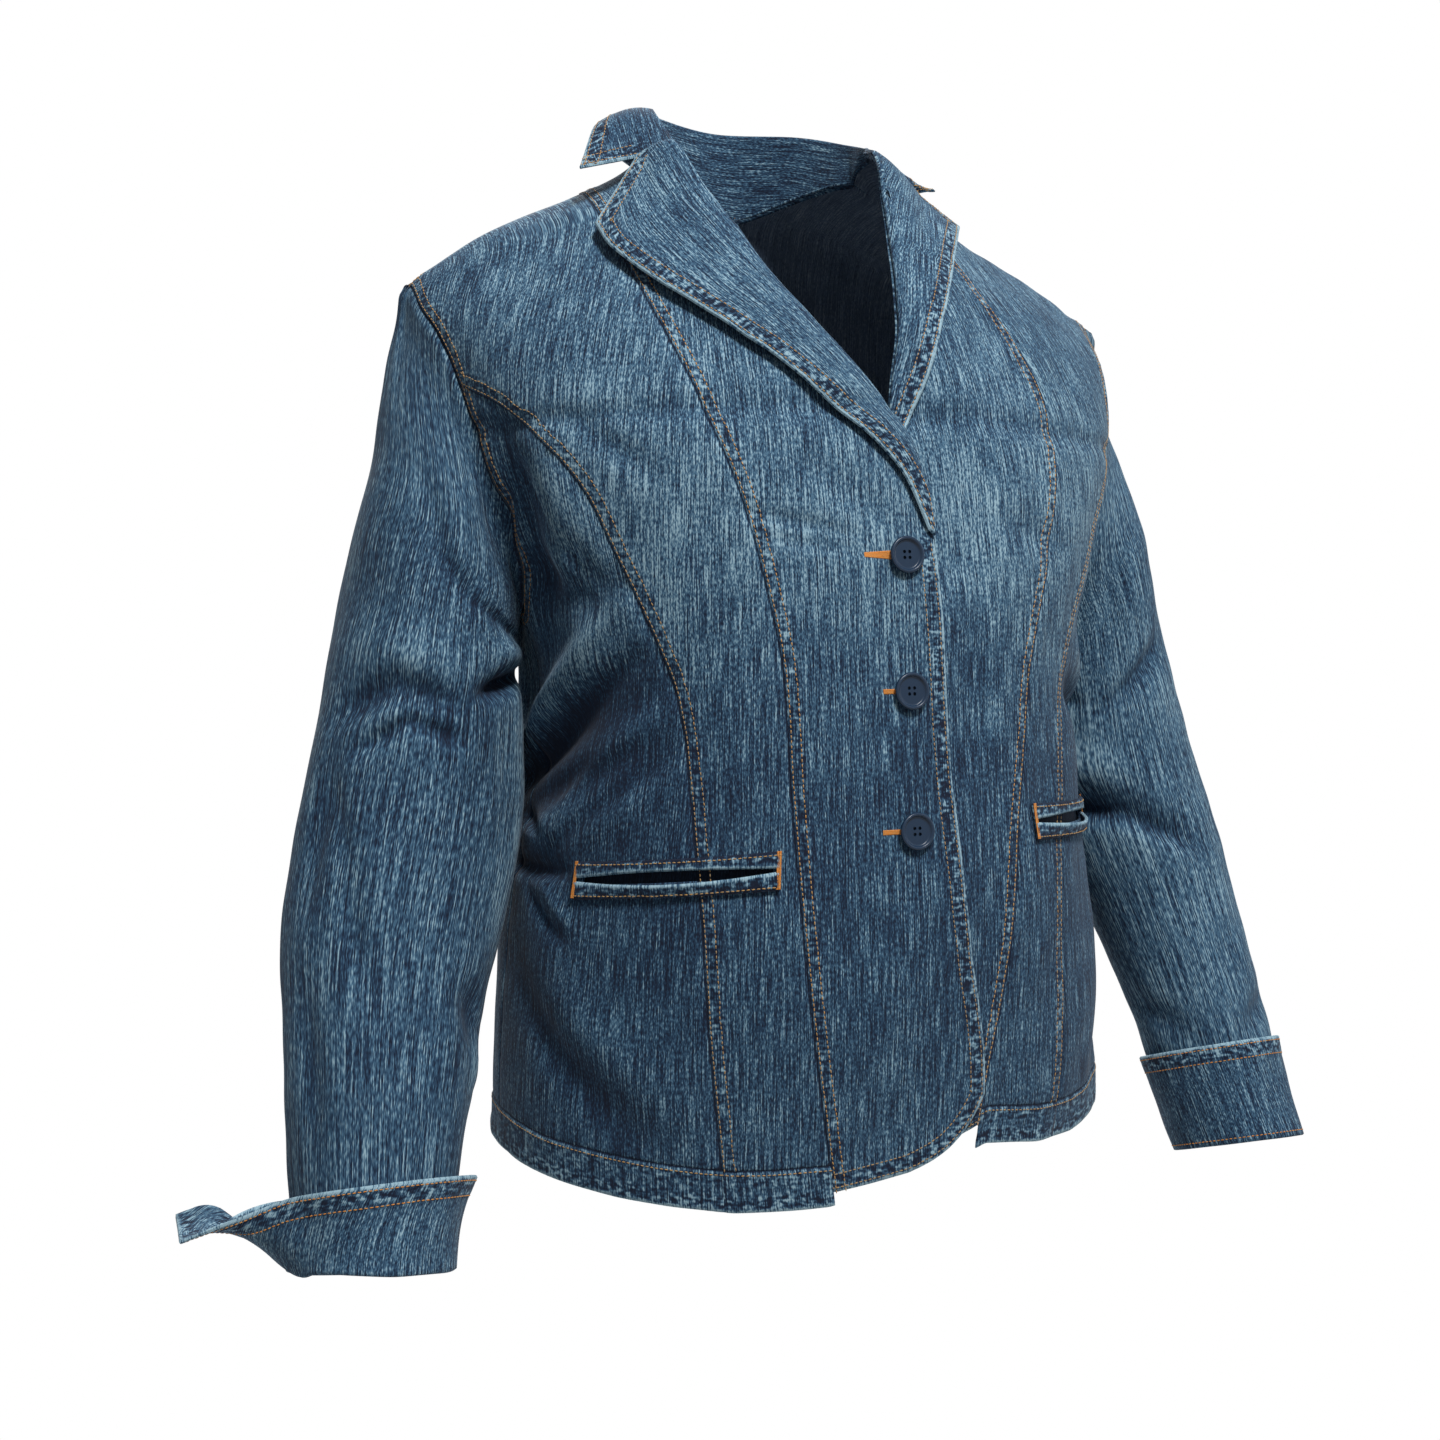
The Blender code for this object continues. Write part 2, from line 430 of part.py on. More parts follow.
def wall(name, outer, inner, missing=(), around=False, colour=DENIM):
    """Closed wall between two grids of points; missing lists the cells of an opening, around joins the ends."""
    rows, cols = outer.shape[:2]
    verts = np.concatenate([outer.reshape(-1, 3), inner.reshape(-1, 3)])
    half = rows * cols
    span = cols if around else cols - 1
    cells = [(r, c) for r in range(rows - 1) for c in range(span) if (r, c) not in missing]
    edges = {}
    faces = []
    for r, c in cells:
        d = (c + 1) % cols
        ring = [r * cols + c, r * cols + d, (r + 1) * cols + d, (r + 1) * cols + c]
        faces.append(ring)
        faces.append([half + v for v in ring[:1] + ring[:0:-1]])
        for p, q in zip(ring, ring[1:] + ring[:1]):
            edges[(p, q)] = True
    for p, q in edges:
        if (q, p) not in edges:
            faces.append([q, p, half + p, half + q])
    used = sorted({v for f in faces for v in f})
    place = {v: i for i, v in enumerate(used)}
    faces = [[place[v] for v in f] for f in faces]
    return add_object(name, verts[used], faces, "denim", colour, 0.85)


def panel(name, angles, ups, side=None, missing=(), thick=WALL, out=0.0):
    """Torso panel from grids of angles and levels; grids run right to left and hem to shoulder."""
    flip = slice(None, None, -1) if angles[0, 0] > angles[0, -1] else slice(None)
    angles, ups = angles[:, flip], ups[:, flip]
    count = angles.shape[1] - 1
    if flip.step == -1:
        missing = {(r, count - 1 - c) for r, c in missing}
    return wall(name, torso(angles, ups, out, side), torso(angles, ups, out - thick, side), missing)


def lengthwise_rows(side):
    """Nominal levels of the front panels' rows: hem to armhole join, and from there to the shoulder."""
    upper, _, _ = stations(side)
    join = armhole_up(upper[-1])
    low = [BAND_HEIGHT + SEAM_GAP, 0.065, 0.112, 0.155, MOUTH_LEVEL - MOUTH_HALF, MOUTH_LEVEL + MOUTH_HALF,
           0.225, 0.250, 0.275, 0.302, 0.335, 0.370, 0.405, 0.440, 0.475]
    low = [v for v in low if v < join - 0.012] + [join]
    top = [armhole_up(a) for a in upper[-2::-1]]
    top[-1] = RIDGE_UP - SEAM_GAP / 2
    return np.array(low), np.array(top)


def own_to_grid(own, nominal, side):
    angle = SIDES[side] * own
    return angle, level(angle, nominal, side)


def front_centre(side):
    low, top = lengthwise_rows(side)
    rise, corner = CENTRE_HEM[side]
    nominal = np.concatenate([[rise], low[low > rise + 0.012], top])[:, None]
    across = np.array([0.0, 0.3, 0.58, 0.76, 0.88, 0.96, 1.0])[None, :]
    keep = 1 - smooth((nominal - rise) / (CENTRE_HEM_TOP - rise))
    nominal = nominal + corner * across**CENTRE_HEM_POWER * keep
    inner = column(nominal, PRINCESS, side) - SEAM_ANGLE
    own = inner + (column(nominal, FRONT_EDGE, side) - inner) * across
    panel("front_centre_" + side, *own_to_grid(own, nominal, side), side)


def middle_columns(side):
    """Shares across the middle panel; the second one is the inner end of the pocket mouth."""
    inner, outer = column(MOUTH_LEVEL, PRINCESS, side), column(MOUTH_LEVEL, SIDE_FRONT, side)
    share = float((MOUTH[side][0] - inner) / (outer - inner))
    return np.concatenate([[0.0, share], share + (1 - share) * np.array([0.33, 0.67, 1.0])])


def side_columns(side):
    """Shares across the side panel; the middle one is the outer end of the pocket mouth."""
    seam = column(MOUTH_LEVEL, SIDE_FRONT, side)
    return np.interp(np.arange(6) / 5, [0, 0.4, 1], [0, (MOUTH[side][1] - seam) / (90 - seam), 1])


BACK_COLUMNS = np.linspace(0, 1, 8)


def front_middle(side):
    low, top = lengthwise_rows(side)
    nominal = np.concatenate([low, top])[:, None]
    inner = column(nominal, PRINCESS, side)
    outer = np.where(nominal > low[-1], armhole_angle(nominal, side), column(nominal, SIDE_FRONT, side))
    across = middle_columns(side)[None, :]
    own = inner + SEAM_ANGLE + (outer - inner - 2 * SEAM_ANGLE) * across
    row = int(np.argmin(np.abs(nominal[:, 0] - (MOUTH_LEVEL - MOUTH_HALF))))
    missing = {(row, c) for c in range(1, across.shape[1] - 1)}
    panel("front_middle_" + side, *own_to_grid(own, nominal, side), side, missing)


def side_rows(side, top):
    """Levels up one column of the side panel, whose top lies on the armhole."""
    low, _ = lengthwise_rows(side)
    waist = 0.250
    scale = (top - waist) / (low[-1] - waist)
    return np.where(low <= waist, low, waist + (low - waist) * scale)


def front_side(side):
    _, lower, _ = stations(side)
    tops = armhole_up(lower)
    nominal = np.stack([side_rows(side, t) for t in tops], 1)
    seam = column(nominal, SIDE_FRONT, side)
    top_angle = armhole_angle(tops, side)
    top_share = (top_angle - seam[-1]) / (90 - seam[-1])
    blend = smooth(((nominal - nominal[0]) / (nominal[-1] - nominal[0]) - 0.45) / 0.55)
    across = side_columns(side) * (1 - blend) + top_share * blend
    own = seam + SEAM_ANGLE + (90 - seam - 2 * SEAM_ANGLE) * across
    own[-1] = top_angle
    own[-1, 0] += SEAM_ANGLE
    own[-1, -1] -= SEAM_ANGLE
    row = int(np.argmin(np.abs(nominal[:, 0] - (MOUTH_LEVEL - MOUTH_HALF))))
    missing = {(row, c) for c in range(2)}
    panel("front_side_" + side, *own_to_grid(own, nominal, side), side, missing)


def back(side):
    _, _, around = stations(side)
    low = side_rows(side, armhole_up(180.0))
    nominal = np.concatenate([low, armhole_up(around[1:])])[:, None]
    nominal[-1] = RIDGE_UP - SEAM_GAP / 2
    outer = np.where(nominal <= low[-1], 90 + SEAM_ANGLE, armhole_angle(nominal, side, True))
    neck = neck_angle(side)
    at_neck = 1 - neck / 90
    top_share = np.concatenate([at_neck * np.linspace(0, 1, 4), at_neck + (1 - at_neck) * np.array([0.2, 0.45, 0.72, 1])])
    blend = smooth((nominal - 0.45) / (RIDGE_UP - 0.50))
    own = outer + (180 - SEAM_ANGLE - outer) * (BACK_COLUMNS * (1 - blend) + top_share * blend)
    dip = NECK_DIP * (1 - np.clip((180 - own) / neck, 0, 1)**NECK_DIP_POWER)
    share = smooth((nominal - 0.560) / (RIDGE_UP - 0.560))
    nominal = nominal - dip * share
    panel("back_" + side, *own_to_grid(own, nominal, side), None)


def neck_angle(side):
    return float(column(RIDGE_UP, FRONT_EDGE, side))


def hem_bands(side):
    """Strip below the side panels and the back, cut in the same columns as they are."""
    rows = np.array([0.0, BAND_HEIGHT / 2, BAND_HEIGHT])[:, None]
    princess, seam = column(rows, PRINCESS, side), column(rows, SIDE_FRONT, side)
    spans = {"middle": (princess + SEAM_ANGLE, seam - SEAM_ANGLE, middle_columns(side)),
             "side": (seam + SEAM_ANGLE, 90 - SEAM_ANGLE, side_columns(side)),
             "back": (90 + SEAM_ANGLE, 180 - SEAM_ANGLE, BACK_COLUMNS)}
    for name, (first, last, columns) in spans.items():
        own = first + (last - first) * columns + 0 * rows
        panel("hem_band_%s_%s" % (name, side), *own_to_grid(own, rows + 0 * own, side), side)


def lapel_points(side, along, across, out=0.0):
    """Points of a lapel: along its roll line from the break, across to its outer edge."""
    roll_up = BREAK_UP + LAPEL_START + (GORGE_UP - BREAK_UP - LAPEL_START) * along
    edge = spline(roll_up, LAPELS[side])
    roll = column(roll_up, FRONT_EDGE, side)
    own = roll + (edge[..., 0] - roll) * across
    up = roll_up + (edge[..., 1] - roll_up) * across
    spread = 1 - np.exp(-((own - roll) / ROLL_LIFT_REACH[side])**2)
    lift = LAPEL_LIFT + (edge[..., 2] - LAPEL_LIFT) * across
    lift = lift + spline(roll_up, ROLL_LIFT)[..., 0] * spread * (1 - across)
    bulge = LAPEL_BULGE * np.sin(np.pi * across**0.7) * smooth((along - LAPEL_BULGE_FROM[side]) / 0.3)
    return torso(SIDES[side] * own, up, lift + bulge + out, side)


def lapel_top(side, across, out=0.0):
    """Upper edge of a lapel: along the gorge to the notch, then straight to the tip."""
    start = lapel_points(side, np.array(1.0), np.array(0.0), out)
    notch = torso(SIDES[side] * NOTCH[side][0], NOTCH[side][1], NOTCH[side][2] + out, side)
    tip = lapel_points(side, np.array(1.0), np.array(1.0), out)
    across = np.asarray(across, float)[..., None]
    part = np.clip(across / NOTCH_SHARE, 0, 1)
    first = start + (notch - start) * part + GORGE_HUMP * np.sin(np.pi * part)**0.6 * np.array([0.0, -0.6, 0.8])
    return np.where(across < NOTCH_SHARE, first, notch + (tip - notch) * (across - NOTCH_SHARE) / (1 - NOTCH_SHARE))


def lapel_face(side, along, across, out=0.0):
    along, across = np.broadcast_arrays(np.asarray(along, float), np.asarray(across, float))
    raised = lapel_top(side, across, out) - lapel_points(side, np.ones_like(across), across, out)
    return lapel_points(side, along, across, out) + raised * (along**NOTCH_POWER)[..., None]


def lapel(side):
    rows = np.concatenate(lengthwise_rows(side))
    rows = rows[(rows > BREAK_UP + 0.01) & (rows < GORGE_UP - 0.01)]
    along = np.concatenate([[0.0], (rows - BREAK_UP - LAPEL_START) / (GORGE_UP - BREAK_UP - LAPEL_START), [1.0]])
    along = np.sort(np.concatenate([along, [along[-3] * 0.5 + along[-2] * 0.5, 0.94]]))[:, None]
    across = np.array([0.0, 0.10, 0.25, NOTCH_SHARE, 0.70, 1.0])[None, :]
    outer, inner = lapel_face(side, along, across), lapel_face(side, along, across, -DOUBLE_WALL)
    if side == "R":
        outer, inner = outer[:, ::-1], inner[:, ::-1]
    wall("lapel_" + side, outer, inner)


def gorge_points(side):
    """Roll-line end and notch of the gorge seam, on the lapel's face."""
    return lapel_top(side, np.array([0.0, NOTCH_SHARE]))


def neckline_point(side, share):
    """Neckline of the fronts and back: share 0 at the gorge, 1 at the shoulder seam, 2 at centre back."""
    if share <= 1:
        up = GORGE_UP + (RIDGE_UP - GORGE_UP) * share
        own = column(up, FRONT_EDGE, side)
        return torso(SIDES[side] * own, min(up, RIDGE_UP - 1e-4), 0.0, side)
    neck = neck_angle(side)
    part = 2 - share
    up = RIDGE_UP - NECK_DIP * (1 - part**NECK_DIP_POWER)
    return torso(SIDES[side] * (180 - neck * part), up)


def collar_curves(share):
    """Base, crest and outer edge of the collar at shares 0..1 from the right gorge to the left one."""
    right_gorge, left_gorge = gorge_points("R")[0], gorge_points("L")[0]
    crest = [right_gorge] + [np.array(row[1]) for row in COLLAR] + [left_gorge]
    edge = [np.array(COLLAR_TIPS["R"])] + [np.array(row[2]) for row in COLLAR] + [np.array(COLLAR_TIPS["L"])]
    knots = np.array([0.0, 0.20, 0.36, 0.50, 0.64, 0.80, 1.0])
    places = np.interp(share, knots, [0.0, 1.0, 1.5, 2.0, 1.5, 1.0, 0.0])
    base = [neckline_point("R" if s < 0.5 else "L", p) for s, p in zip(share.ravel(), places.ravel())]
    base = np.array(base).reshape(share.shape + (3,))
    return [base] + [spline(share, np.column_stack([knots, np.array(rows)])) for rows in (crest, edge)]


def collar_grid(share, across):
    """Face of the collar: across 0 at the neckline, FOLD_SHARE at the crest, 1 at the outer edge."""
    base, crest, edge = collar_curves(share)
    across = np.asarray(across)[..., None]
    turned = np.clip((across - FOLD_SHARE) / (1 - FOLD_SHARE), 0, 1)
    base = base + unit(crest - base) * 3 * SEAM_GAP
    face = base + (crest - base) * np.clip(across / FOLD_SHARE, 0, 1) + (edge - crest) * turned
    inside = smooth(np.minimum(share, 1 - share) / 0.12)[..., None]
    face[..., 2:3] += COLLAR_HUMP * inside * np.sin(np.pi * turned)**0.8
    for side, near in (("R", share), ("L", 1 - share)):
        start, notch = gorge_points(side)
        tip = np.array(COLLAR_TIPS[side])
        bent = np.where(turned < NOTCH_SHARE, start + (notch - start) * turned / NOTCH_SHARE,
                        notch + (tip - notch) * (turned - NOTCH_SHARE) / (1 - NOTCH_SHARE))
        face = face + (bent - start - (tip - start) * turned) * (np.clip(1 - near / 0.18, 0, 1)**2)[..., None]
    return face


def grid_normals(points):
    down = np.gradient(points, axis=0)
    across = np.gradient(points, axis=1)
    return unit(np.cross(across, down))


def collar():
    share = np.linspace(0, 1, 23)
    notch = FOLD_SHARE + (1 - FOLD_SHARE) * NOTCH_SHARE
    across = np.array([0.0, 0.20, 0.35, 0.43, 0.54, notch, 0.85, 1.0])
    shares, acrosses = np.meshgrid(share, across, indexing="ij")
    face = collar_grid(shares, acrosses)
    normal = grid_normals(face)
    trim = GORGE_GAP * (1 - smooth(shares / 0.02))[..., None] - GORGE_GAP * smooth((shares - 0.98) / 0.02)[..., None]
    back_way = np.gradient(face, axis=0)
    face = face + unit(back_way) * trim
    wall("collar", face, face - normal * DOUBLE_WALL)


def sleeve_columns(side):
    upper, lower, behind = stations(side)
    return np.concatenate([upper, lower[1:], behind[1:-1]])


def sleeves(side):
    """Top sleeve round the outer arm and under sleeve behind it, meeting at the front and back seams."""
    around = sleeve_columns(side)
    front = int(np.argmin(np.abs(around - SLEEVE_FRONT_SEAM)))
    rear = int(np.argmin(np.abs(around - SLEEVE_BACK_SEAM)))
    down = np.array([0.0, 0.008, 0.018, 0.030, 0.044, 0.058, 0.074, 0.094, 0.126, 0.160, 0.192, 0.222, 0.252,
                     0.284, 0.322, 0.364, 0.408, 0.452, 0.498, SLEEVE_LENGTH[side]])
    spans = {"top": np.concatenate([around[rear:] - 360, around[:front + 1]]), "under": around[front:rear + 1]}
    for name, columns in spans.items():
        downs, arounds = np.meshgrid(down, columns, indexing="ij")
        downs = downs + (sleeve_end(arounds, side) - SLEEVE_LENGTH[side]) * smooth((downs - WRIST_FROM) / 0.14)
        half_gap = SLEEVE_SEAM_ANGLE * (1 + HEAD_SEAM_EXTRA * (1 - smooth((down - 0.05) / 0.06)))
        arounds[:, 0] += half_gap
        arounds[:, -1] -= half_gap
        outer, inner = sleeve(arounds, downs, side), sleeve(arounds, downs, side, -WALL)
        if side == "R":
            outer, inner = outer[::-1], inner[::-1]
        wall("sleeve_%s_%s" % (name, side), outer, inner)


def sleeve_end(around, side):
    """Length of the sleeve at degrees round the arm, down to the fold of its cuff."""
    return SLEEVE_LENGTH[side] + np.interp(np.mod(around, 360), *SLEEVE_END[side].T)


def cuff_down(side, around, rise):
    """Distance down the sleeve of the cuff: rise 0 at the fold, 1 at the free edge."""
    fold = sleeve_end(around, side) + CUFF_DROP
    return fold + (SLEEVE_LENGTH[side] + CUFF_DROP - CUFF_HEIGHT[side] - fold) * rise


def cuff_face(side, around, rise):
    """Cuff surface over the sleeve."""
    return sleeve(around, cuff_down(side, around, rise), side,
                  CUFF_STAND + DOUBLE_WALL + CUFF_FLARE[side] * rise**2)


def cuff_left():
    rise = np.linspace(0, 1, 4)[:, None]
    around = sleeve_columns("L")[None, :]
    rises, arounds = np.broadcast_arrays(rise, around)
    outer = cuff_face("L", arounds, rises)
    normal = sleeve_normal(arounds, cuff_down("L", arounds, rises), "L")
    wall("cuff_L", outer[::-1], (outer - normal * DOUBLE_WALL)[::-1], around=True)


def tab(band, rise, part):
    """Open end of the right cuff: its free edge sweeps away while the strip leans forwards and curls."""
    leave = unit(band[-1, -1] - band[-1, -2])
    turn = smooth(part / 0.25)[:, None]
    heading = unit(leave * (1 - turn) + unit(np.array(TAB_AWAY)) * turn)
    edge = band[-1, -1] + np.cumsum(heading * (TAB_LENGTH / len(part)), axis=0)
    upright = unit(band[-1, -1] - band[0, -1])
    between = (rise[1:] + rise[:-1])[:, None] / 2
    curl = TAB_CURL * np.sin(0.93 * math.pi * part**0.75)
    lean = np.radians(TAB_LEAN * smooth((part + 0.06) / 0.85) + curl * (0.5 - between))[..., None]
    way = upright * np.cos(lean) + unit(np.array(TAB_FORWARD)) * np.sin(lean)
    step = way * (CUFF_HEIGHT["R"] * np.diff(rise)[:, None] * (1 - TAB_NARROW * smooth(part)))[..., None]
    below = np.cumsum(step[::-1], axis=0)[::-1]
    return edge - np.concatenate([below, np.zeros_like(below[:1])])


def cuff_right():
    """Turned-back cuff, open at the outer arm: one end swings out, the other flares away as a tab."""
    wraps = sleeve_columns("R")
    inner = wraps[(wraps > TAB_FROM + 8) & (wraps < CUFF_START - 8)][::-1]
    wraps = np.concatenate([[CUFF_START], inner, [TAB_FROM]])
    rise = np.linspace(0, 1, 5)
    rises, arounds = np.meshgrid(rise, wraps, indexing="ij")
    normal = sleeve_normal(arounds, cuff_down("R", arounds, rises), "R")
    band = cuff_face("R", arounds, rises)
    open_end = smooth((arounds - CUFF_SWING_FROM) / (CUFF_START - CUFF_SWING_FROM))[..., None]
    swing = np.radians(CUFF_SWING) * open_end
    tall = np.linalg.norm(band - band[:1], axis=-1, keepdims=True)
    band = band[:1] + (band - band[:1]) * np.cos(swing) + normal * tall * np.sin(swing)
    steps = 9
    part = np.linspace(0, 1, steps + 1)
    face = np.concatenate([band, tab(band, rise, part[1:])], axis=1)
    face_normal = grid_normals(face)
    if np.sum(face_normal[:, :len(wraps)] * normal) < 0:
        face_normal = -face_normal
    tab_share = np.broadcast_to(smooth(part[1:] / 0.2)[None, :, None], (len(rise), steps, 1))
    share = np.concatenate([open_end, tab_share], axis=1)
    pad = np.concatenate([normal, np.repeat(normal[:, -1:], steps, axis=1)], axis=1)
    normals = unit(pad * (1 - share) + face_normal * share)
    wall("cuff_R", face[::-1], (face - normals * DOUBLE_WALL)[::-1])


def pocket(side):
    """Two welts framing the mouth, and the bag that shows behind it."""
    inner, outer = MOUTH[side][:2]
    own = np.linspace(inner, outer, 9)[None, :]
    gape = MOUTH_GAPE * np.sin(np.pi * np.linspace(0, 1, 9))[None, :]
    upper = MOUTH_LEVEL + 0.0015 + np.array([0.0, 0.5, 1.0])[:, None] * WELT_HEIGHT + 0 * own
    upper[0] += gape[0]
    lower = MOUTH_LEVEL - 0.0015 - np.array([1.0, 0.5, 0.0])[:, None] * (WELT_HEIGHT + 0.001) + 0 * own
    lower[-1] -= gape[0]
    for name, rows in (("upper", upper), ("lower", lower)):
        angle, up = own_to_grid(own + 0 * rows, rows, side)
        sag = 0.0 if name == "upper" else 1.0
        out = 2 * SEAM_GAP + DOUBLE_WALL + sag * gape * np.array([0.0, 0.3, 1.0])[:, None]
        flip = side == "R"
        outer_pts, inner_pts = torso(angle, up, out, side), torso(angle, up, out - DOUBLE_WALL, side)
        if flip:
            outer_pts, inner_pts = outer_pts[:, ::-1], inner_pts[:, ::-1]
        wall("pocket_welt_" + name + "_" + side, outer_pts, inner_pts)
    own = np.linspace(inner + 0.5, outer - 0.5, 7)[None, :]
    rows = np.linspace(MOUTH_LEVEL - BAG_DEPTH, MOUTH_LEVEL + 0.016, 5)[:, None] + 0 * own
    angle, up = own_to_grid(own + 0 * rows, rows, side)
    depth = -(WALL + BAG_STAND[side])
    outer_pts, inner_pts = torso(angle, up, depth, side), torso(angle, up, depth - WALL, side)
    if side == "R":
        outer_pts, inner_pts = outer_pts[:, ::-1], inner_pts[:, ::-1]
    wall("pocket_bag_" + side, outer_pts, inner_pts, colour=DENIM_DARK)


def button(name, centre, normal, radius):
    """Turned disc with a raised rim and four sewing holes."""
    thick = BUTTON_THICK * radius / BUTTON_RADIUS
    rim = BUTTON_RIM * radius / BUTTON_RADIUS
    profile = [(radius * 0.72, 0.0), (radius * 0.96, thick * 0.35), (radius, thick * 0.6),
               (radius * 0.97, thick * 0.9), (radius - rim / 2, thick), (radius - rim, thick * 0.86),
               (radius - rim * 1.2, thick * 0.64)]
    z = unit(np.asarray(normal, float))
    x = unit(np.cross(np.array([0.0, 0.0, 1.0]), z))
    y = np.cross(z, x)
    turn = np.linspace(0, 2 * math.pi, BUTTON_SIDES, endpoint=False)
    verts = []
    for r, h in profile:
        verts += [centre + z * h + x * r * math.cos(a) + y * r * math.sin(a) for a in turn]
    n, last = BUTTON_SIDES, len(profile) - 1
    faces = [list(range(n))[::-1], [last * n + k for k in range(n)]]
    for ring in range(last):
        a, b = ring * n, (ring + 1) * n
        faces += [[a + k, a + (k + 1) % n, b + (k + 1) % n, b + k] for k in range(n)]
    obj = add_object(name, verts, faces, "navy_plastic", BUTTON_NAVY, 0.35)
    spots = [centre + (x * math.cos(a) + y * math.sin(a)) * radius * HOLE_SPREAD
             for a in math.pi / 4 + np.arange(4) * math.pi / 2]
    cut_holes(obj, spots, x, y, z, radius * HOLE_RADIUS, thick)


def cut_holes(obj, spots, x, y, z, radius, thick):
    verts, faces, n = [], [], HOLE_SIDES
    for spot in spots:
        ring = [x * radius * math.cos(a) + y * radius * math.sin(a)
                for a in np.linspace(0, 2 * math.pi, n, endpoint=False)]
        first = len(verts)
        verts += [spot - z * thick + v for v in ring] + [spot + z * 2 * thick + v for v in ring]
        faces += [[first + k for k in range(n)][::-1], [first + n + k for k in range(n)]]
        faces += [[first + k, first + (k + 1) % n, first + n + (k + 1) % n, first + n + k] for k in range(n)]
    cutter = add_object("cutter", verts, faces, "cutter", BUTTON_NAVY, 0.35)
    modifier = obj.modifiers.new("holes", "BOOLEAN")
    modifier.operation = "DIFFERENCE"
    modifier.object = cutter
    bpy.context.view_layer.update()
    graph = bpy.context.evaluated_depsgraph_get()
    mesh = bpy.data.meshes.new_from_object(obj.evaluated_get(graph))
    obj.modifiers.remove(modifier)
    obj.data = mesh
    bpy.data.objects.remove(cutter)


def buttons():
    for k, up in enumerate(BUTTON_LEVELS):
        spot = torso(BUTTON_ANGLE, up, 2 * SEAM_GAP, "R")
        button("button_front_%d" % (k + 1), spot, torso_normal(BUTTON_ANGLE, up), BUTTON_RADIUS)
    for side, around in (("R", 312.0), ("L", 318.0)):
        spot = cuff_face(side, np.array([around]), np.array([0.5]))[0]
        normal = sleeve_normal(np.array([around]), cuff_down(side, np.array([around]), 0.5), side)[0]
        button("button_cuff_" + side, spot + normal * 2 * SEAM_GAP, normal, CUFF_BUTTON_RADIUS)


def build():
    for obj in list(bpy.data.objects):
        bpy.data.objects.remove(obj, do_unlink=True)
    for side in SIDES:
        front_centre(side)
        front_middle(side)
        front_side(side)
        back(side)
        hem_bands(side)
        lapel(side)
        sleeves(side)
        pocket(side)
    collar()
    cuff_left()
    cuff_right()
    buttons()


build()
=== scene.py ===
"""Looks of a denim blazer, in the hollow form it keeps when it is worn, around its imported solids.

Metres, +Z up, front towards -Y, the wearer's right at -X. Every panel is a thin shell of cloth on the form of
its solid: the torso, read by its angle from centre front and its distance up the cloth from the hem, and the
sleeve, read by its angle round the arm and its distance down from the shoulder.
"""
import math

import bpy
import numpy as np
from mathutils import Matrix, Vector
from mathutils.bvhtree import BVHTree
from mathutils.kdtree import KDTree


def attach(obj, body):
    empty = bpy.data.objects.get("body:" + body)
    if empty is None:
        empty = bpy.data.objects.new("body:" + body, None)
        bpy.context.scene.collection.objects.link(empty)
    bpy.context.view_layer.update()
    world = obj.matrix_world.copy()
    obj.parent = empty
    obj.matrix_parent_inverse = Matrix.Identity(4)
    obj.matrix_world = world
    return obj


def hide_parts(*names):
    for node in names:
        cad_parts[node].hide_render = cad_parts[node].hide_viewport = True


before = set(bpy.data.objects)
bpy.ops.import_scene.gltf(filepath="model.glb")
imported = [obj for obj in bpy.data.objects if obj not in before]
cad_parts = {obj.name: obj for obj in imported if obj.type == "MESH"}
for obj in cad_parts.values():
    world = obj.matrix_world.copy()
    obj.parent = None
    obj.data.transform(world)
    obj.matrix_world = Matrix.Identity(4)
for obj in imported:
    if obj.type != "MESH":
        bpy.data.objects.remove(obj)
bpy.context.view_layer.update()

# Cloth and seams, metres
WALL = 0.0015            # one layer of denim
DOUBLE_WALL = 0.0020     # two layers: lapels, collar, cuffs, welts
SEAM_GAP = 0.0003        # between neighbouring pieces
TIP_ROOM = 0.0018        # further room between panels and sleeve at the shoulder's tip
RIDGE_UP = 0.727         # cloth from hem to shoulder seam
BAND_HEIGHT = 0.024      # hem band below the side panels

# Torso form: a row for each level. Angles run from centre front, positive to the wearer's left.
# Cloth up from hem, height, half width, front and back depth, centre y, squareness, share of shoulder slope
TORSO_ROWS = np.array([
    (0.000, -0.592, 0.206, 0.156, 0.130, 0.000, 2.15, 0.00),   # hem
    (0.092, -0.500, 0.204, 0.160, 0.134, 0.000, 2.15, 0.00),   # hip
    (0.172, -0.420, 0.195, 0.160, 0.136, 0.000, 2.20, 0.00),   # pockets
    (0.242, -0.350, 0.184, 0.154, 0.131, 0.000, 2.25, 0.00),   # waist
    (0.312, -0.280, 0.179, 0.147, 0.124, 0.000, 2.35, 0.00),   # under the bust
    (0.377, -0.215, 0.196, 0.143, 0.122, 0.002, 2.40, 0.00),   # bust
    (0.443, -0.150, 0.215, 0.135, 0.125, 0.005, 2.35, 0.10),   # armhole front
    (0.508, -0.090, 0.228, 0.116, 0.123, 0.012, 2.25, 0.30),   # chest
    (0.572, -0.035, 0.239, 0.088, 0.113, 0.020, 2.15, 0.55),
    (0.625, 0.005, 0.246, 0.059, 0.098, 0.028, 2.10, 0.78),
    (0.667, 0.031, 0.248, 0.033, 0.077, 0.033, 2.05, 0.92),
    (0.697, 0.042, 0.248, 0.014, 0.045, 0.036, 2.00, 0.98),
    (0.727, 0.045, 0.248, 0.000, 0.000, 0.037, 2.00, 1.00),    # shoulder seam
])
SHOULDER_SLOPE = {"R": 0.41, "L": 0.455}   # fall for each metre out from the neck
SHOULDER_ROUND = {"R": 16.0, "L": 1.5}     # extra fall towards the shoulder point
NECK_HALF = {"R": 0.07, "L": 0.05}
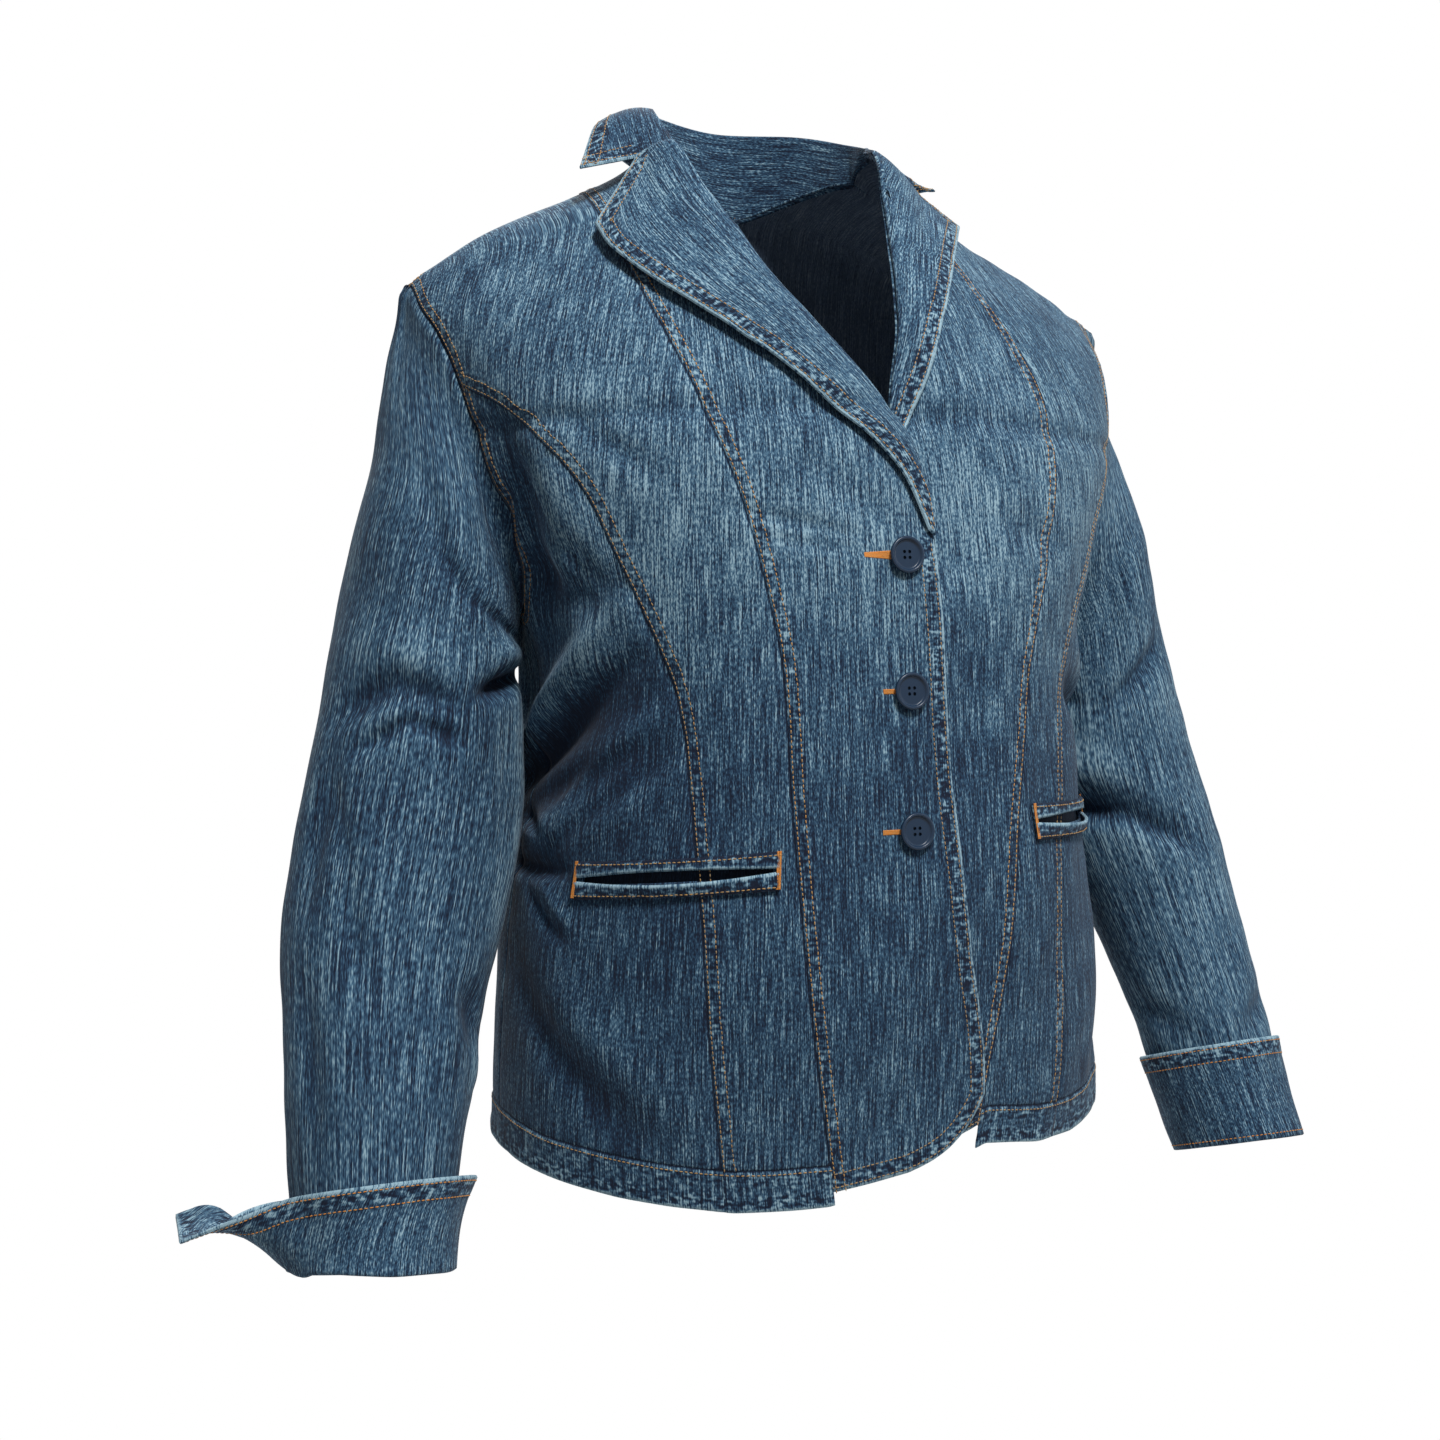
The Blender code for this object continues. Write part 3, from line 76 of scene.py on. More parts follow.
ROUND_FROM, ROUND_POWER = 0.10, 3.5

# Lengthwise seams: cloth up from hem, degrees from centre front on the right side, on the left side
PRINCESS = np.array([
    (0.000, 13.0, 14.0), (0.030, 14.2, 15.0), (0.082, 16.5, 17.5), (0.182, 20.8, 24.0), (0.240, 22.5, 27.5),
    (0.340, 24.3, 31.5), (0.400, 25.9, 33.6), (0.465, 29.0, 33.2), (0.545, 32.4, 27.5), (0.600, 33.4, 22.5),
    (0.660, 33.8, 20.5), (0.727, 34.0, 20.5)])
SIDE_FRONT = np.array([
    (0.000, 31.2, 33.0), (0.020, 31.8, 33.6), (0.100, 34.6, 35.2), (0.176, 37.5, 37.6), (0.210, 39.2, 40.5),
    (0.294, 43.5, 45.0), (0.333, 46.8, 48.0), (0.373, 50.0, 51.5), (0.430, 55.0, 57.5), (0.463, 62.0, 62.5),
    (0.491, 70.5, 70.0), (0.520, 86.0, 78.0)])
# Front edge below the break, roll line above it and neckline at the top; negative lies past centre front
FRONT_EDGE = np.array([
    (0.000, -14.2, -8.0), (0.062, -14.2, -8.0), (0.100, -13.2, -8.0), (0.145, -11.2, -8.0),
    (0.233, -9.4, -8.0), (0.327, -8.2, -8.0), (0.388, -6.4, -8.0), (0.424, -5.0, -3.5),
    (0.451, -3.0, 0.5), (0.485, 2.4, 2.6), (0.518, 8.3, 4.6), (0.557, 14.0, 6.2), (0.600, 17.2, 7.9),
    (0.668, 19.5, 10.8), (0.727, 20.0, 13.0)])
UNDERLAP, UNDERLAP_LAPEL = 0.0030, 0.0036   # the left front lies this far in, and more below its lapel
UNDERLAP_DEEPER, UNDERLAP_TOP = (0.345, 0.035), (0.50, 0.06)    # levels where it deepens and ends, and spans
UNDERLAP_SIDE = (4.5, 12.0)                 # the same in degrees past the right front's edge
BREAK_UP = 0.388         # where the front edge turns into the roll line
GORGE_UP = 0.668         # where the roll line meets the collar

# Armhole: an upright oval on the form
ARMHOLE_MID, ARMHOLE_HALF = 0.536, 0.191
ARMHOLE_FRONT = {"R": 10.0, "L": 25.0}     # degrees in front of the side
ARMHOLE_BACK = 24.0
ARMHOLE_POWER = 0.8

# Hem line: degrees from centre front, rise above the lowest point
HEM_LINE = np.array([(-180, 0.015), (-82, 0.014), (-52, 0.006), (-30, 0.000), (-14, 0.001), (0, 0.008),
                     (16, 0.025), (28, 0.019), (40, 0.016), (55, 0.019), (90, 0.020), (180, 0.015)], float)
HEM_LINE_TOP = 0.150     # the hem line's shape dies out here
# Rise of the hem at the princess seam, and more at the round corner
CENTRE_HEM = {"R": (0.008, 0.030), "L": (0.015, 0.034)}
CENTRE_HEM_POWER, CENTRE_HEM_TOP = 7.0, 0.150

# Pockets: degrees of inner and outer end, level of the mouth there
MOUTH_LEVEL, MOUTH_HALF, MOUTH_TRIM = 0.193, 0.0055, 0.6    # the hole stops short of both ends by the last
MOUTH = {"R": (24.2, 64.0, 0.199, 0.188), "L": (28.5, 66.0, 0.218, 0.212)}
MOUTH_REACH = 0.095      # the panels' rows follow the slanted mouth this far up and down
MOUTH_FADE = 20.0        # and this many degrees past its outer end
WELT_HEIGHT, MOUTH_SLIT, MOUTH_GAPE = 0.0085, 0.0015, 0.0030
WELT_OUT = 2 * SEAM_GAP + DOUBLE_WALL     # of the welts' faces, off the form
BAG_DEPTH, BAG_ABOVE = 0.085, 0.016    # below and above the mouth
BAG_TRIM = 0.5           # degrees shorter than the mouth at each end
BAG_STAND = {"R": 0.0034, "L": 0.0024}    # behind the panels

DRAPE_SEED, DRAPE_SHARE, SLEEVE_DRAPE = 11, 0.0042, 1.3
DRAPE_LENGTHS = (0.150, 0.112, 0.086, 0.070, 0.058, 0.047, 0.039, 0.032, 0.026, 0.022)

# Soft folds of the worn cloth: degrees and level at both ends, half width, depth out (+) or in (-)
FOLD_WIDTH = 1.4
TORSO_RADIUS, ARM_RADIUS = 0.19, 0.06    # turn degrees into metres for the folds
TORSO_FOLDS = [
    ("right waist drag, trough", -99, 0.238, -46, 0.302, 0.0095, -0.0075),
    ("right waist drag, ridge", -99, 0.258, -52, 0.322, 0.0110, 0.0060),
    ("right waist drag, lower trough", -97, 0.214, -44, 0.272, 0.0085, -0.0060),
    ("right waist drag, lower ridge", -92, 0.196, -56, 0.232, 0.0100, 0.0045),
    ("right pocket pinch", -96, 0.200, -70, 0.196, 0.0080, -0.0055),
    ("right underarm hollow", -69, 0.480, -76, 0.340, 0.0130, -0.0080),
    ("right underarm ridge", -61, 0.440, -66, 0.345, 0.0110, 0.0035),
    ("right bust crease", -52, 0.466, -40, 0.428, 0.0070, -0.0035),
    ("right hip fold", -84, 0.128, -46, 0.040, 0.0100, -0.0045),
    ("right hip ridge", -70, 0.130, -40, 0.060, 0.0120, 0.0035),
    ("crease below the right lapel", -17, 0.436, -1, 0.396, 0.0080, -0.0025),
    ("left waist drag, trough", 98, 0.232, 48, 0.296, 0.0100, -0.0060),
    ("left waist drag, ridge", 98, 0.254, 56, 0.314, 0.0110, 0.0050),
    ("left bust crease", 20, 0.402, 36, 0.384, 0.0080, -0.0030),
    ("left underarm hollow", 66, 0.420, 74, 0.330, 0.0120, -0.0060),
    ("left hip fold", 84, 0.120, 52, 0.050, 0.0110, -0.0040),
    ("right back waist, trough", -112, 0.246, -166, 0.292, 0.0110, -0.0060),
    ("right back waist, ridge", -112, 0.270, -160, 0.312, 0.0120, 0.0045),
    ("left back waist, trough", 112, 0.240, 160, 0.280, 0.0110, -0.0055),
    ("left back waist, ridge", 114, 0.262, 168, 0.304, 0.0120, 0.0045),
    ("right shoulder blade", -112, 0.420, -128, 0.520, 0.0130, -0.0045),
    ("left shoulder blade", 112, 0.430, 126, 0.510, 0.0130, -0.0045),
    ("back hem wave, right", -150, 0.020, -146, 0.150, 0.0160, 0.0050),
    ("back hem wave, left", 138, 0.020, 144, 0.170, 0.0170, 0.0050),
    # sharper creases within them
    ("right waist, deep trough", -99, 0.236, -50, 0.320, 0.0075, -0.0105),
    ("right waist, crest above it", -96, 0.262, -52, 0.350, 0.0060, 0.0060),
    ("right waist, small crest", -76, 0.222, -50, 0.284, 0.0045, 0.0030),
    ("right waist, small trough", -72, 0.206, -45, 0.262, 0.0045, -0.0040),
    ("right side hollow", -86, 0.372, -56, 0.350, 0.0100, -0.0060),
    ("right bust, upper crease", -70, 0.432, -65, 0.388, 0.0040, -0.0040),
    ("right bust, lower crease", -65, 0.388, -52, 0.356, 0.0040, -0.0045),
    ("right underarm crease", -80, 0.414, -100, 0.330, 0.0055, -0.0080),
    ("right side pinch", -92, 0.220, -77, 0.211, 0.0030, -0.0050),
    ("crease by the right pocket", -96, 0.189, -68, 0.190, 0.0038, -0.0060),
    ("right hip, curved crest", -76, 0.184, -63, 0.158, 0.0030, 0.0025),
    ("right hip, curved trough", -82, 0.178, -66, 0.150, 0.0032, -0.0028),
    ("right side swell", -106, 0.200, -102, 0.350, 0.0160, 0.0075),
    ("first crease from the top button", -28, 0.404, -6, 0.388, 0.0034, -0.0022),
    ("second crease from the top button", -24, 0.388, -5, 0.379, 0.0030, -0.0016),
    ("left waist, deep trough", 97, 0.230, 52, 0.296, 0.0070, -0.0070),
    ("left waist, crest above it", 95, 0.254, 56, 0.322, 0.0060, 0.0045),
    ("left side hollow", 84, 0.366, 58, 0.344, 0.0090, -0.0045),
    ("left underarm crease", 78, 0.410, 96, 0.330, 0.0055, -0.0060),
    ("back waist crease, right", -114, 0.244, -150, 0.280, 0.0060, -0.0050),
    ("back waist crease, left", 114, 0.238, 148, 0.270, 0.0060, -0.0050),
    ("back crease between the blades", -160, 0.470, 158, 0.462, 0.0060, -0.0025),
]

# Sleeve form, wearer's left; the right is its mirror.
# Down from shoulder, centre x, y, z, sideways tilt, forward pitch, half across, half deep
SLEEVE_ROWS = np.array([
    (0.000, 0.2165, 0.030, -0.1400, 71.6, 0, 0.1000, 0.060),
    (0.050, 0.2220, 0.036, -0.1670, 66.0, 0, 0.0850, 0.061),
    (0.100, 0.2271, 0.032, -0.2010, 52.0, 1, 0.0639, 0.062),
    (0.160, 0.2382, 0.025, -0.2420, 29.0, 3, 0.0529, 0.061),
    (0.220, 0.2464, 0.018, -0.2930, 10.0, 6, 0.0537, 0.058),
    (0.290, 0.2576, 0.009, -0.3620, 6.0, 9, 0.0586, 0.056),
    (0.370, 0.2758, -0.016, -0.4440, 6.5, 15, 0.0580, 0.052),
    (0.450, 0.2890, -0.046, -0.5240, 4.0, 19, 0.0492, 0.046),
    (0.500, 0.2950, -0.062, -0.5730, -1.0, 20, 0.0462, 0.044),
    (0.555, 0.3020, -0.083, -0.6240, -1.0, 20, 0.0450, 0.045)])
SLEEVE_LENGTH = {"R": 0.548, "L": 0.545}
# Degrees round, length more
SLEEVE_END = {"R": np.array([(0, -0.0100), (50, -0.0050), (95, 0.0020), (140, 0.0045), (190, 0.0030),
                             (270, 0.0), (360, -0.0100)]),
              "L": np.array([(0, 0.0), (360, 0.0)])}
SLEEVE_WIDTH = {"R": 1.09, "L": 0.89}    # the right sleeve hangs a little wider
WRIST_WIDTH, WRIST_FROM, WRIST_SPAN = {"R": 1.03, "L": 0.89}, 0.40, 0.15
CAP_PUFF = 0.0020        # fullness just below the armhole seam
CAP_BLEND = 0.13         # the armhole's shape dies out here
HEAD_STEP = 12.0         # degrees, for the run of the armhole's edge
SLEEVE_FOLDS = {
    # degrees round and distance down at both ends, half width, depth
    "R": [("elbow arc, outer", 28, 0.246, 62, 0.226, 0.0070, -0.0065),
          ("elbow arc, front", 62, 0.226, 100, 0.238, 0.0070, -0.0065),
          ("elbow swell", 30, 0.206, 96, 0.208, 0.0120, 0.0040),
          ("inner pinch", 118, 0.222, 168, 0.196, 0.0075, -0.0070),
          ("inner swell", 120, 0.192, 160, 0.172, 0.0100, 0.0040),
          ("forearm fold", 32, 0.270, 28, 0.352, 0.0065, -0.0045),
          ("lower forearm fold", 30, 0.400, 40, 0.478, 0.0070, -0.0040),
          ("inner wrist fold", 128, 0.396, 168, 0.430, 0.0085, -0.0060),
          ("cap hollow", 62, 0.110, 92, 0.190, 0.0120, -0.0045),
          ("back elbow, high", 236, 0.236, 300, 0.222, 0.0080, -0.0065),
          ("back elbow, low", 226, 0.290, 286, 0.272, 0.0085, -0.0060),
          # sharper creases within them
          ("cap", -80, 0.024, 80, 0.024, 0.0150, -0.0024),
          ("cap behind", 280, 0.024, 440, 0.024, 0.0150, -0.0024),
          ("elbow arc, rising", 48, 0.266, 74, 0.247, 0.0034, -0.0060),
          ("elbow arc, falling", 74, 0.247, 103, 0.256, 0.0036, -0.0060),
          ("elbow crest, rising", 50, 0.252, 74, 0.235, 0.0045, 0.0018),
          ("elbow crest, falling", 74, 0.235, 103, 0.243, 0.0045, 0.0018),
          ("inner wedge", 116, 0.226, 168, 0.194, 0.0045, -0.0075),
          ("long soft fold, top", 62, 0.100, 75, 0.130, 0.0060, -0.0030),
          ("long soft fold, middle", 75, 0.130, 99, 0.152, 0.0060, -0.0035),
          ("long soft fold, end", 99, 0.152, 160, 0.156, 0.0060, -0.0035),
          ("forearm crease, upper", 37, 0.288, 51, 0.328, 0.0045, -0.0035),
          ("forearm crease, lower", 51, 0.328, 71, 0.406, 0.0050, -0.0030),
          ("inner bulge", 160, 0.420, 172, 0.452, 0.0100, 0.0040),
          ("inner fullness", 168, 0.170, 172, 0.370, 0.0150, 0.0065),
          ("back elbow crease", 240, 0.256, 292, 0.244, 0.0045, -0.0055)],
    "L": [("inner fullness", 206, 0.190, 206, 0.330, 0.0300, 0.0110),
          ("elbow fold, inner", 196, 0.300, 128, 0.316, 0.0080, -0.0070),
          ("elbow fold, front", 128, 0.316, 84, 0.345, 0.0075, -0.0050),
          ("elbow swell", 190, 0.276, 118, 0.290, 0.0110, 0.0045),
          ("cap hollow", 92, 0.100, 118, 0.190, 0.0110, -0.0045),
          ("upper drag", 60, 0.200, 128, 0.250, 0.0080, -0.0035),
          ("wrist fold", 40, 0.452, 84, 0.470, 0.0070, -0.0045),
          ("inner wrist fold", 190, 0.440, 140, 0.470, 0.0080, -0.0040),
          ("back elbow, high", 240, 0.240, 304, 0.226, 0.0080, -0.0060),
          ("back elbow, low", 228, 0.300, 290, 0.284, 0.0085, -0.0055),
          # sharper creases within them
          ("cap, outer", 0, 0.022, 46, 0.022, 0.0110, -0.0030),
          ("cap, rear", 314, 0.022, 360, 0.022, 0.0110, -0.0030),
          ("elbow crease, inner", 190, 0.306, 130, 0.322, 0.0045, -0.0060),
          ("elbow crease, front", 130, 0.322, 92, 0.345, 0.0040, -0.0045),
          ("upper crease", 70, 0.206, 128, 0.246, 0.0045, -0.0035),
          ("inner wedge", 150, 0.238, 196, 0.214, 0.0045, -0.0050),
          ("back elbow crease", 236, 0.258, 290, 0.246, 0.0045, -0.0055)]}

# Lapels: level on the roll line, then degrees, level and lift of the outer edge
LAPEL_LIFT = 3 * SEAM_GAP + DOUBLE_WALL
LAPELS = {
    "R": np.array([(0.388, -5.6, 0.391, 0.0036), (0.424, -0.2, 0.430, 0.0042), (0.451, 6.5, 0.456, 0.0050),
                   (0.485, 14.5, 0.486, 0.0058), (0.518, 21.5, 0.514, 0.0065), (0.557, 28.8, 0.548, 0.0075),
                   (0.600, 34.0, 0.586, 0.0085), (0.668, 35.5, 0.624, 0.0090)]),
    "L": np.array([(0.388, -7.4, 0.391, 0.0031), (0.424, -1.5, 0.430, 0.0031), (0.451, 3.4, 0.456, 0.0034),
                   (0.485, 7.6, 0.486, 0.0060), (0.518, 11.3, 0.520, 0.0085), (0.557, 14.6, 0.553, 0.0110),
                   (0.600, 18.5, 0.590, 0.0120), (0.668, 25.0, 0.648, 0.0110)])}
NOTCH = {"R": (25.1, 0.676, 0.007), "L": (21.0, 0.690, 0.012)}    # degrees, level, lift
NOTCH_SHARE, NOTCH_POWER = 0.45, 5.0
GORGE_HUMP = 0.0035      # the lapel rides over the rise of the roll line
LAPEL_START = 0.002      # above the break
# Level, how far the roll line stands off the form
ROLL_LIFT = np.array([(0.388, 0.0), (0.500, 0.0), (0.557, 0.004), (0.620, 0.013), (0.668, 0.020),
                      (0.700, 0.012), (0.727, 0.0)])
ROLL_LIFT_REACH = {"R": 6.5, "L": 4.5}    # degrees
LAPEL_BULGE, LAPEL_BULGE_FROM = 0.0035, {"R": 0.0, "L": 0.3}

# Collar: crest and outer edge at stations round the neck, from the right gorge to the left one
COLLAR = [
    ("right shoulder", (-0.0835, 0.045, 0.078), (-0.1200, 0.048, 0.066)),
    ("right back", (-0.0620, 0.088, 0.085), (-0.0800, 0.122, 0.065)),
    ("centre back", (-0.0125, 0.112, 0.086), (-0.0125, 0.143, 0.046)),
    ("left back", (0.0370, 0.088, 0.083), (0.0560, 0.122, 0.050)),
    ("left shoulder", (0.0565, 0.045, 0.069), (0.0930, 0.048, 0.043)),
]
COLLAR_TIPS = {"R": (-0.1493, -0.002, 0.025), "L": (0.0981, -0.002, 0.033)}
NECK_DIP, NECK_DIP_POWER = 0.064, 1.5
FOLD_SHARE, COLLAR_HUMP = 0.4, 0.0050
COLLAR_END_REACH = 0.18  # share of the collar that bends with its notched end

# Cuffs, turned back over the sleeve
CUFF_HEIGHT = {"R": 0.046, "L": 0.066}
CUFF_FLARE = {"R": 0.0080, "L": 0.0020}
CUFF_STAND = 0.0006      # clear of the sleeve
CUFF_DROP = 0.0015       # the fold hangs this far below the sleeve's end
TAB_LENGTH, TAB_FROM = 0.070, 34.0
TAB_AWAY, TAB_FORWARD = (-0.86, 0.32, -0.38), (-0.05, -1.0, 0.05)
TAB_LEAN, TAB_CURL = 96.0, 95.0    # degrees: the tab's twist to the front, and how far it curls on the way
TAB_NARROW = 0.16        # share of the height lost at the tip
TAB_TURN = 0.25          # share of the length in which the tab turns away
CUFF_START, CUFF_SWING_FROM = 353.0, 322.0
CUFF_SWING = 38.0        # degrees that the open end behind the tab swings out

# Buttons
BUTTON_RADIUS = 0.011
BUTTON_LEVELS = (0.378, 0.299, 0.218)
BUTTON_ANGLE = 0.8
CUFF_BUTTON_RADIUS = 0.0075
CUFF_BUTTON_AT = {"R": 312.0, "L": 318.0}    # degrees round the sleeve
BUTTON_SIDES, HOLE_SIDES = 64, 20
HOLE_SPREAD, HOLE_RADIUS = 0.22, 0.095   # of the radius

SIDES = {"R": -1.0, "L": 1.0}
FRONT = np.array([0.0, -1.0, 0.0])
UPRIGHT = np.array([0.0, 0.0, 1.0])


def spline(x, table):
    """Smooth curve through a table's rows: first column against the others."""
    xs, ys = table[:, 0], table[:, 1:]
    step = np.diff(xs)
    slope = np.diff(ys, axis=0) / step[:, None]
    tangent = np.vstack([slope[:1], (slope[:-1] * step[1:, None] + slope[1:] * step[:-1, None])
                         / (step[1:] + step[:-1])[:, None], slope[-1:]])
    x = np.clip(np.asarray(x, float), xs[0], xs[-1])
    k = np.clip(np.searchsorted(xs, x, side="right") - 1, 0, len(xs) - 2)
    u = ((x - xs[k]) / step[k])[..., None]
    h = step[k][..., None]
    return ((2 * u**3 - 3 * u**2 + 1) * ys[k] + (u**3 - 2 * u**2 + u) * h * tangent[k]
            + (3 * u**2 - 2 * u**3) * ys[k + 1] + (u**3 - u**2) * h * tangent[k + 1])


def column(x, table, side):
    """Value of a two-sided table at x: right column or left column."""
    return spline(x, table)[..., 0 if side == "R" else 1]


def smooth(x):
    x = np.clip(x, 0.0, 1.0)
    return x * x * (3 - 2 * x)


def ease(x, start, span):
    """Smooth step that starts at a place and is complete a span further on."""
    return smooth((x - start) / span)


def even(count):
    """Evenly spaced shares from 0 to 1."""
    return np.linspace(0, 1, count)


def together(*values):
    """Arrays of one shape."""
    return np.broadcast_arrays(*[np.asarray(value, float) for value in values])


def cos_sin(degrees):
    return np.cos(np.radians(degrees)), np.sin(np.radians(degrees))


def unit(v):
    return v / np.maximum(np.linalg.norm(v, axis=-1, keepdims=True), 1e-12)


def torso_form(angle, up):
    """Point of the smooth torso form at degrees from centre front and metres of cloth up from the hem."""
    angle, up = together(angle, up)
    height, half, front, back, centre, power, share = np.moveaxis(spline(up, TORSO_ROWS), -1, 0)
    c, s = cos_sin(angle)
    reach = (np.abs(c)**power + np.abs(s)**power) ** (-1 / power)
    x = half * reach * s
    y = centre - np.where(c > 0, front, back) * reach * c
    out = np.abs(x)
    pairs = SHOULDER_SLOPE, SHOULDER_ROUND, NECK_HALF
    slope, extra, neck = (np.where(x < 0, pair["R"], pair["L"]) for pair in pairs)
    fall = slope * np.maximum(0, out - neck) + extra * np.maximum(0, out - ROUND_FROM)**ROUND_POWER
    return np.stack([x, y, height - share * fall], -1)


def torso_normal(angle, up):
    """Outward normal of the torso form; straight up at the shoulder seam, where front and back meet."""
    up = np.minimum(np.asarray(up, float), RIDGE_UP - 0.0012)
    across = torso_form(angle + 0.2, up) - torso_form(angle - 0.2, up)
    along = torso_form(angle, up + 0.001) - torso_form(angle, up - 0.001)
    keep = smooth((up - RIDGE_UP + 0.030) / 0.028)[..., None]
    return unit(unit(np.cross(across, along)) * (1 - keep) + UPRIGHT * keep)


def fold_sum(across, along, folds, radius):
    """Sum of soft creases, each a bell across its line that dies out at its ends."""
    metres_per_degree = math.radians(radius)
    across, along = together(across, along)
    total = np.zeros(across.shape)
    for _, a0, b0, a1, b1, width, depth in folds:
        start = np.array([a0 * metres_per_degree, b0])
        run = np.array([a1 * metres_per_degree, b1]) - start
        length = math.hypot(*run)
        du, dv = across * metres_per_degree - start[0], along - start[1]
        t = np.clip((du * run[0] + dv * run[1]) / length**2, 0, 1)
        gap2 = (du - t * run[0])**2 + (dv - t * run[1])**2
        total = total + depth * np.exp(-gap2 / (width * FOLD_WIDTH)**2) * np.sin(np.pi * (0.12 + 0.76 * t))
    return total


def underlap(angle, up):
    """How far the left front lies behind the right one near centre front."""
    edge = -column(up, FRONT_EDGE, "R")
    deep = UNDERLAP + UNDERLAP_LAPEL * ease(up, *UNDERLAP_DEEPER)
    return deep * (1 - ease(angle - edge, *UNDERLAP_SIDE)) * (1 - ease(up, *UNDERLAP_TOP))


def drape(points):
    """Low unevenness that runs on across the seams, from waves in many directions."""
    rng = np.random.default_rng(DRAPE_SEED)
    total = np.zeros(points.shape[:-1])
    for length in DRAPE_LENGTHS:
        turn = points @ unit(rng.normal(size=3)) * 2 * math.pi / length
        total = total + DRAPE_SHARE * length * np.sin(turn + rng.uniform(0, 6.28))
    return total


def torso(angle, up, out=0.0, side=None):
    """Cloth surface of the torso: form, folds, rise of the roll line, underlap, and out metres more."""
    angle, up = together(angle, up)
    base = torso_form(angle, up)
    lift = fold_sum(angle, up, TORSO_FOLDS, TORSO_RADIUS) + drape(base) + out
    if side:
        own = SIDES[side] * angle
        roll = column(up, FRONT_EDGE, side)
        lift = lift + spline(up, ROLL_LIFT)[..., 0] * np.exp(-((own - roll) / ROLL_LIFT_REACH[side])**2)
    if side == "L":
        lift = lift - underlap(angle, up)
    return base + torso_normal(angle, up) * lift[..., None]


def level(angle, nominal, side):
    """Real level of a row: rows follow the hem line low down and the pocket mouth at the hip."""
    own = SIDES[side] * angle
    hem = np.interp(angle, HEM_LINE[:, 0], HEM_LINE[:, 1]) * (1 - smooth(nominal / HEM_LINE_TOP))
    inner, outer, up_inner, up_outer = MOUTH[side]
    share = np.clip((own - inner) / (outer - inner), 0, 1)
    shift = up_inner + (up_outer - up_inner) * share - MOUTH_LEVEL
    shift = shift * (1 - ease(own, outer, MOUTH_FADE))
    near = 1 - ease(np.abs(nominal - MOUTH_LEVEL), MOUTH_HALF, MOUTH_REACH)
    return nominal + hem + shift * near


def armhole_angle(up, side, back=False):
    """Degrees from centre front, own side, of the armhole edge at a level."""
    c = np.clip((np.asarray(up, float) - ARMHOLE_MID) / ARMHOLE_HALF, -1, 1)
    s = np.sqrt(1 - c * c)**ARMHOLE_POWER
    return 90 + ARMHOLE_BACK * s if back else 90 - ARMHOLE_FRONT[side] * s


def armhole_up(around):
    return ARMHOLE_MID + ARMHOLE_HALF * cos_sin(around)[0]


def join_around(side):
    """Degrees round the armhole, from the shoulder point forward, where the side-front seam meets it."""
    around = np.linspace(60, 130, 701)
    up = armhole_up(around)
    gap = column(up, SIDE_FRONT, side) - armhole_angle(up, side)
    return float(around[np.argmin(np.abs(gap))])


def sleeve_form(around, down, side):
    """Point of the smooth sleeve form at degrees round the arm and metres down from the shoulder point."""
    around, down = together(around, down)

    def ring(at):
        x, y, z, tilt, pitch, across, deep = np.moveaxis(spline(at, SLEEVE_ROWS), -1, 0)
        tilt, pitch = np.radians(tilt), np.radians(pitch)
        wrist = ease(at, WRIST_FROM, WRIST_SPAN)
        across = across * (SLEEVE_WIDTH[side] * (1 - wrist) + WRIST_WIDTH[side] * wrist)
        c, s = cos_sin(around)
        return np.stack([x + across * c * np.cos(tilt), y - deep * s * np.cos(pitch),
                         z + across * c * np.sin(tilt) + deep * s * np.sin(pitch)], -1)

    keep = (1 - smooth(down / CAP_BLEND))[..., None]
    shape = ring(down) + (sleeve_head(around, side) - ring(np.zeros_like(down))) * keep
    return shape * np.array([SIDES[side], 1, 1])


def armhole_place(around, side):
    """Angle and level of the armhole's edge at degrees round it."""
    up = armhole_up(around)
    back = np.sin(np.radians(around)) < 0
    return np.where(back, armhole_angle(up, side, True), armhole_angle(up, side)), up


def sleeve_head(around, side):
    """Edge of the sleeve along the armhole, wearer's left, clear of the panels' walls."""
    angle, up = armhole_place(around, side)
    mirror = np.array([SIDES[side], 1, 1])
    edge = torso(SIDES[side] * angle, np.minimum(up, RIDGE_UP - 1e-4)) * mirror
    face = torso_normal(SIDES[side] * angle, up) * mirror
    ahead, behind = (torso_form(*armhole_place(around + step, side)) for step in (HEAD_STEP, -HEAD_STEP))
    outward = unit(np.cross(face, unit(ahead - behind)))
    c, s = cos_sin(around)
    outward = np.where(c[..., None] > 0.99, np.array([1.0, 0.0, 0.0]), outward)
    own = np.stack([c, -s, np.zeros_like(up)], -1)
    side_room = SEAM_GAP + WALL * np.clip(np.sum(own * outward, -1), 0, 1) + TIP_ROOM * ease(c, 0.8, 0.2)
    face_room = 2 * SEAM_GAP * np.clip(-np.sum(own * face, -1), 0, 1)
    return edge + outward * side_room[..., None] + face * face_room[..., None]


def sleeve_normal(around, down, side):
    """Outward normal of the sleeve; square to the arm at the very top, so that it hangs in the armhole."""
    down = np.asarray(down, float)
    turn = sleeve_form(around + 1.0, down, side) - sleeve_form(around - 1.0, down, side)
    fall = sleeve_form(around, down + 0.002, side) - sleeve_form(around, np.maximum(down - 0.002, 0), side)
    normal = unit(np.cross(turn, fall)) * SIDES[side]
    c, s = cos_sin(around)
    own = np.stack([SIDES[side] * c, -s, 0 * (c + down)], -1)
    keep = (1 - smooth(down / 0.012))[..., None]
    return unit(normal * (1 - keep) + own * keep)


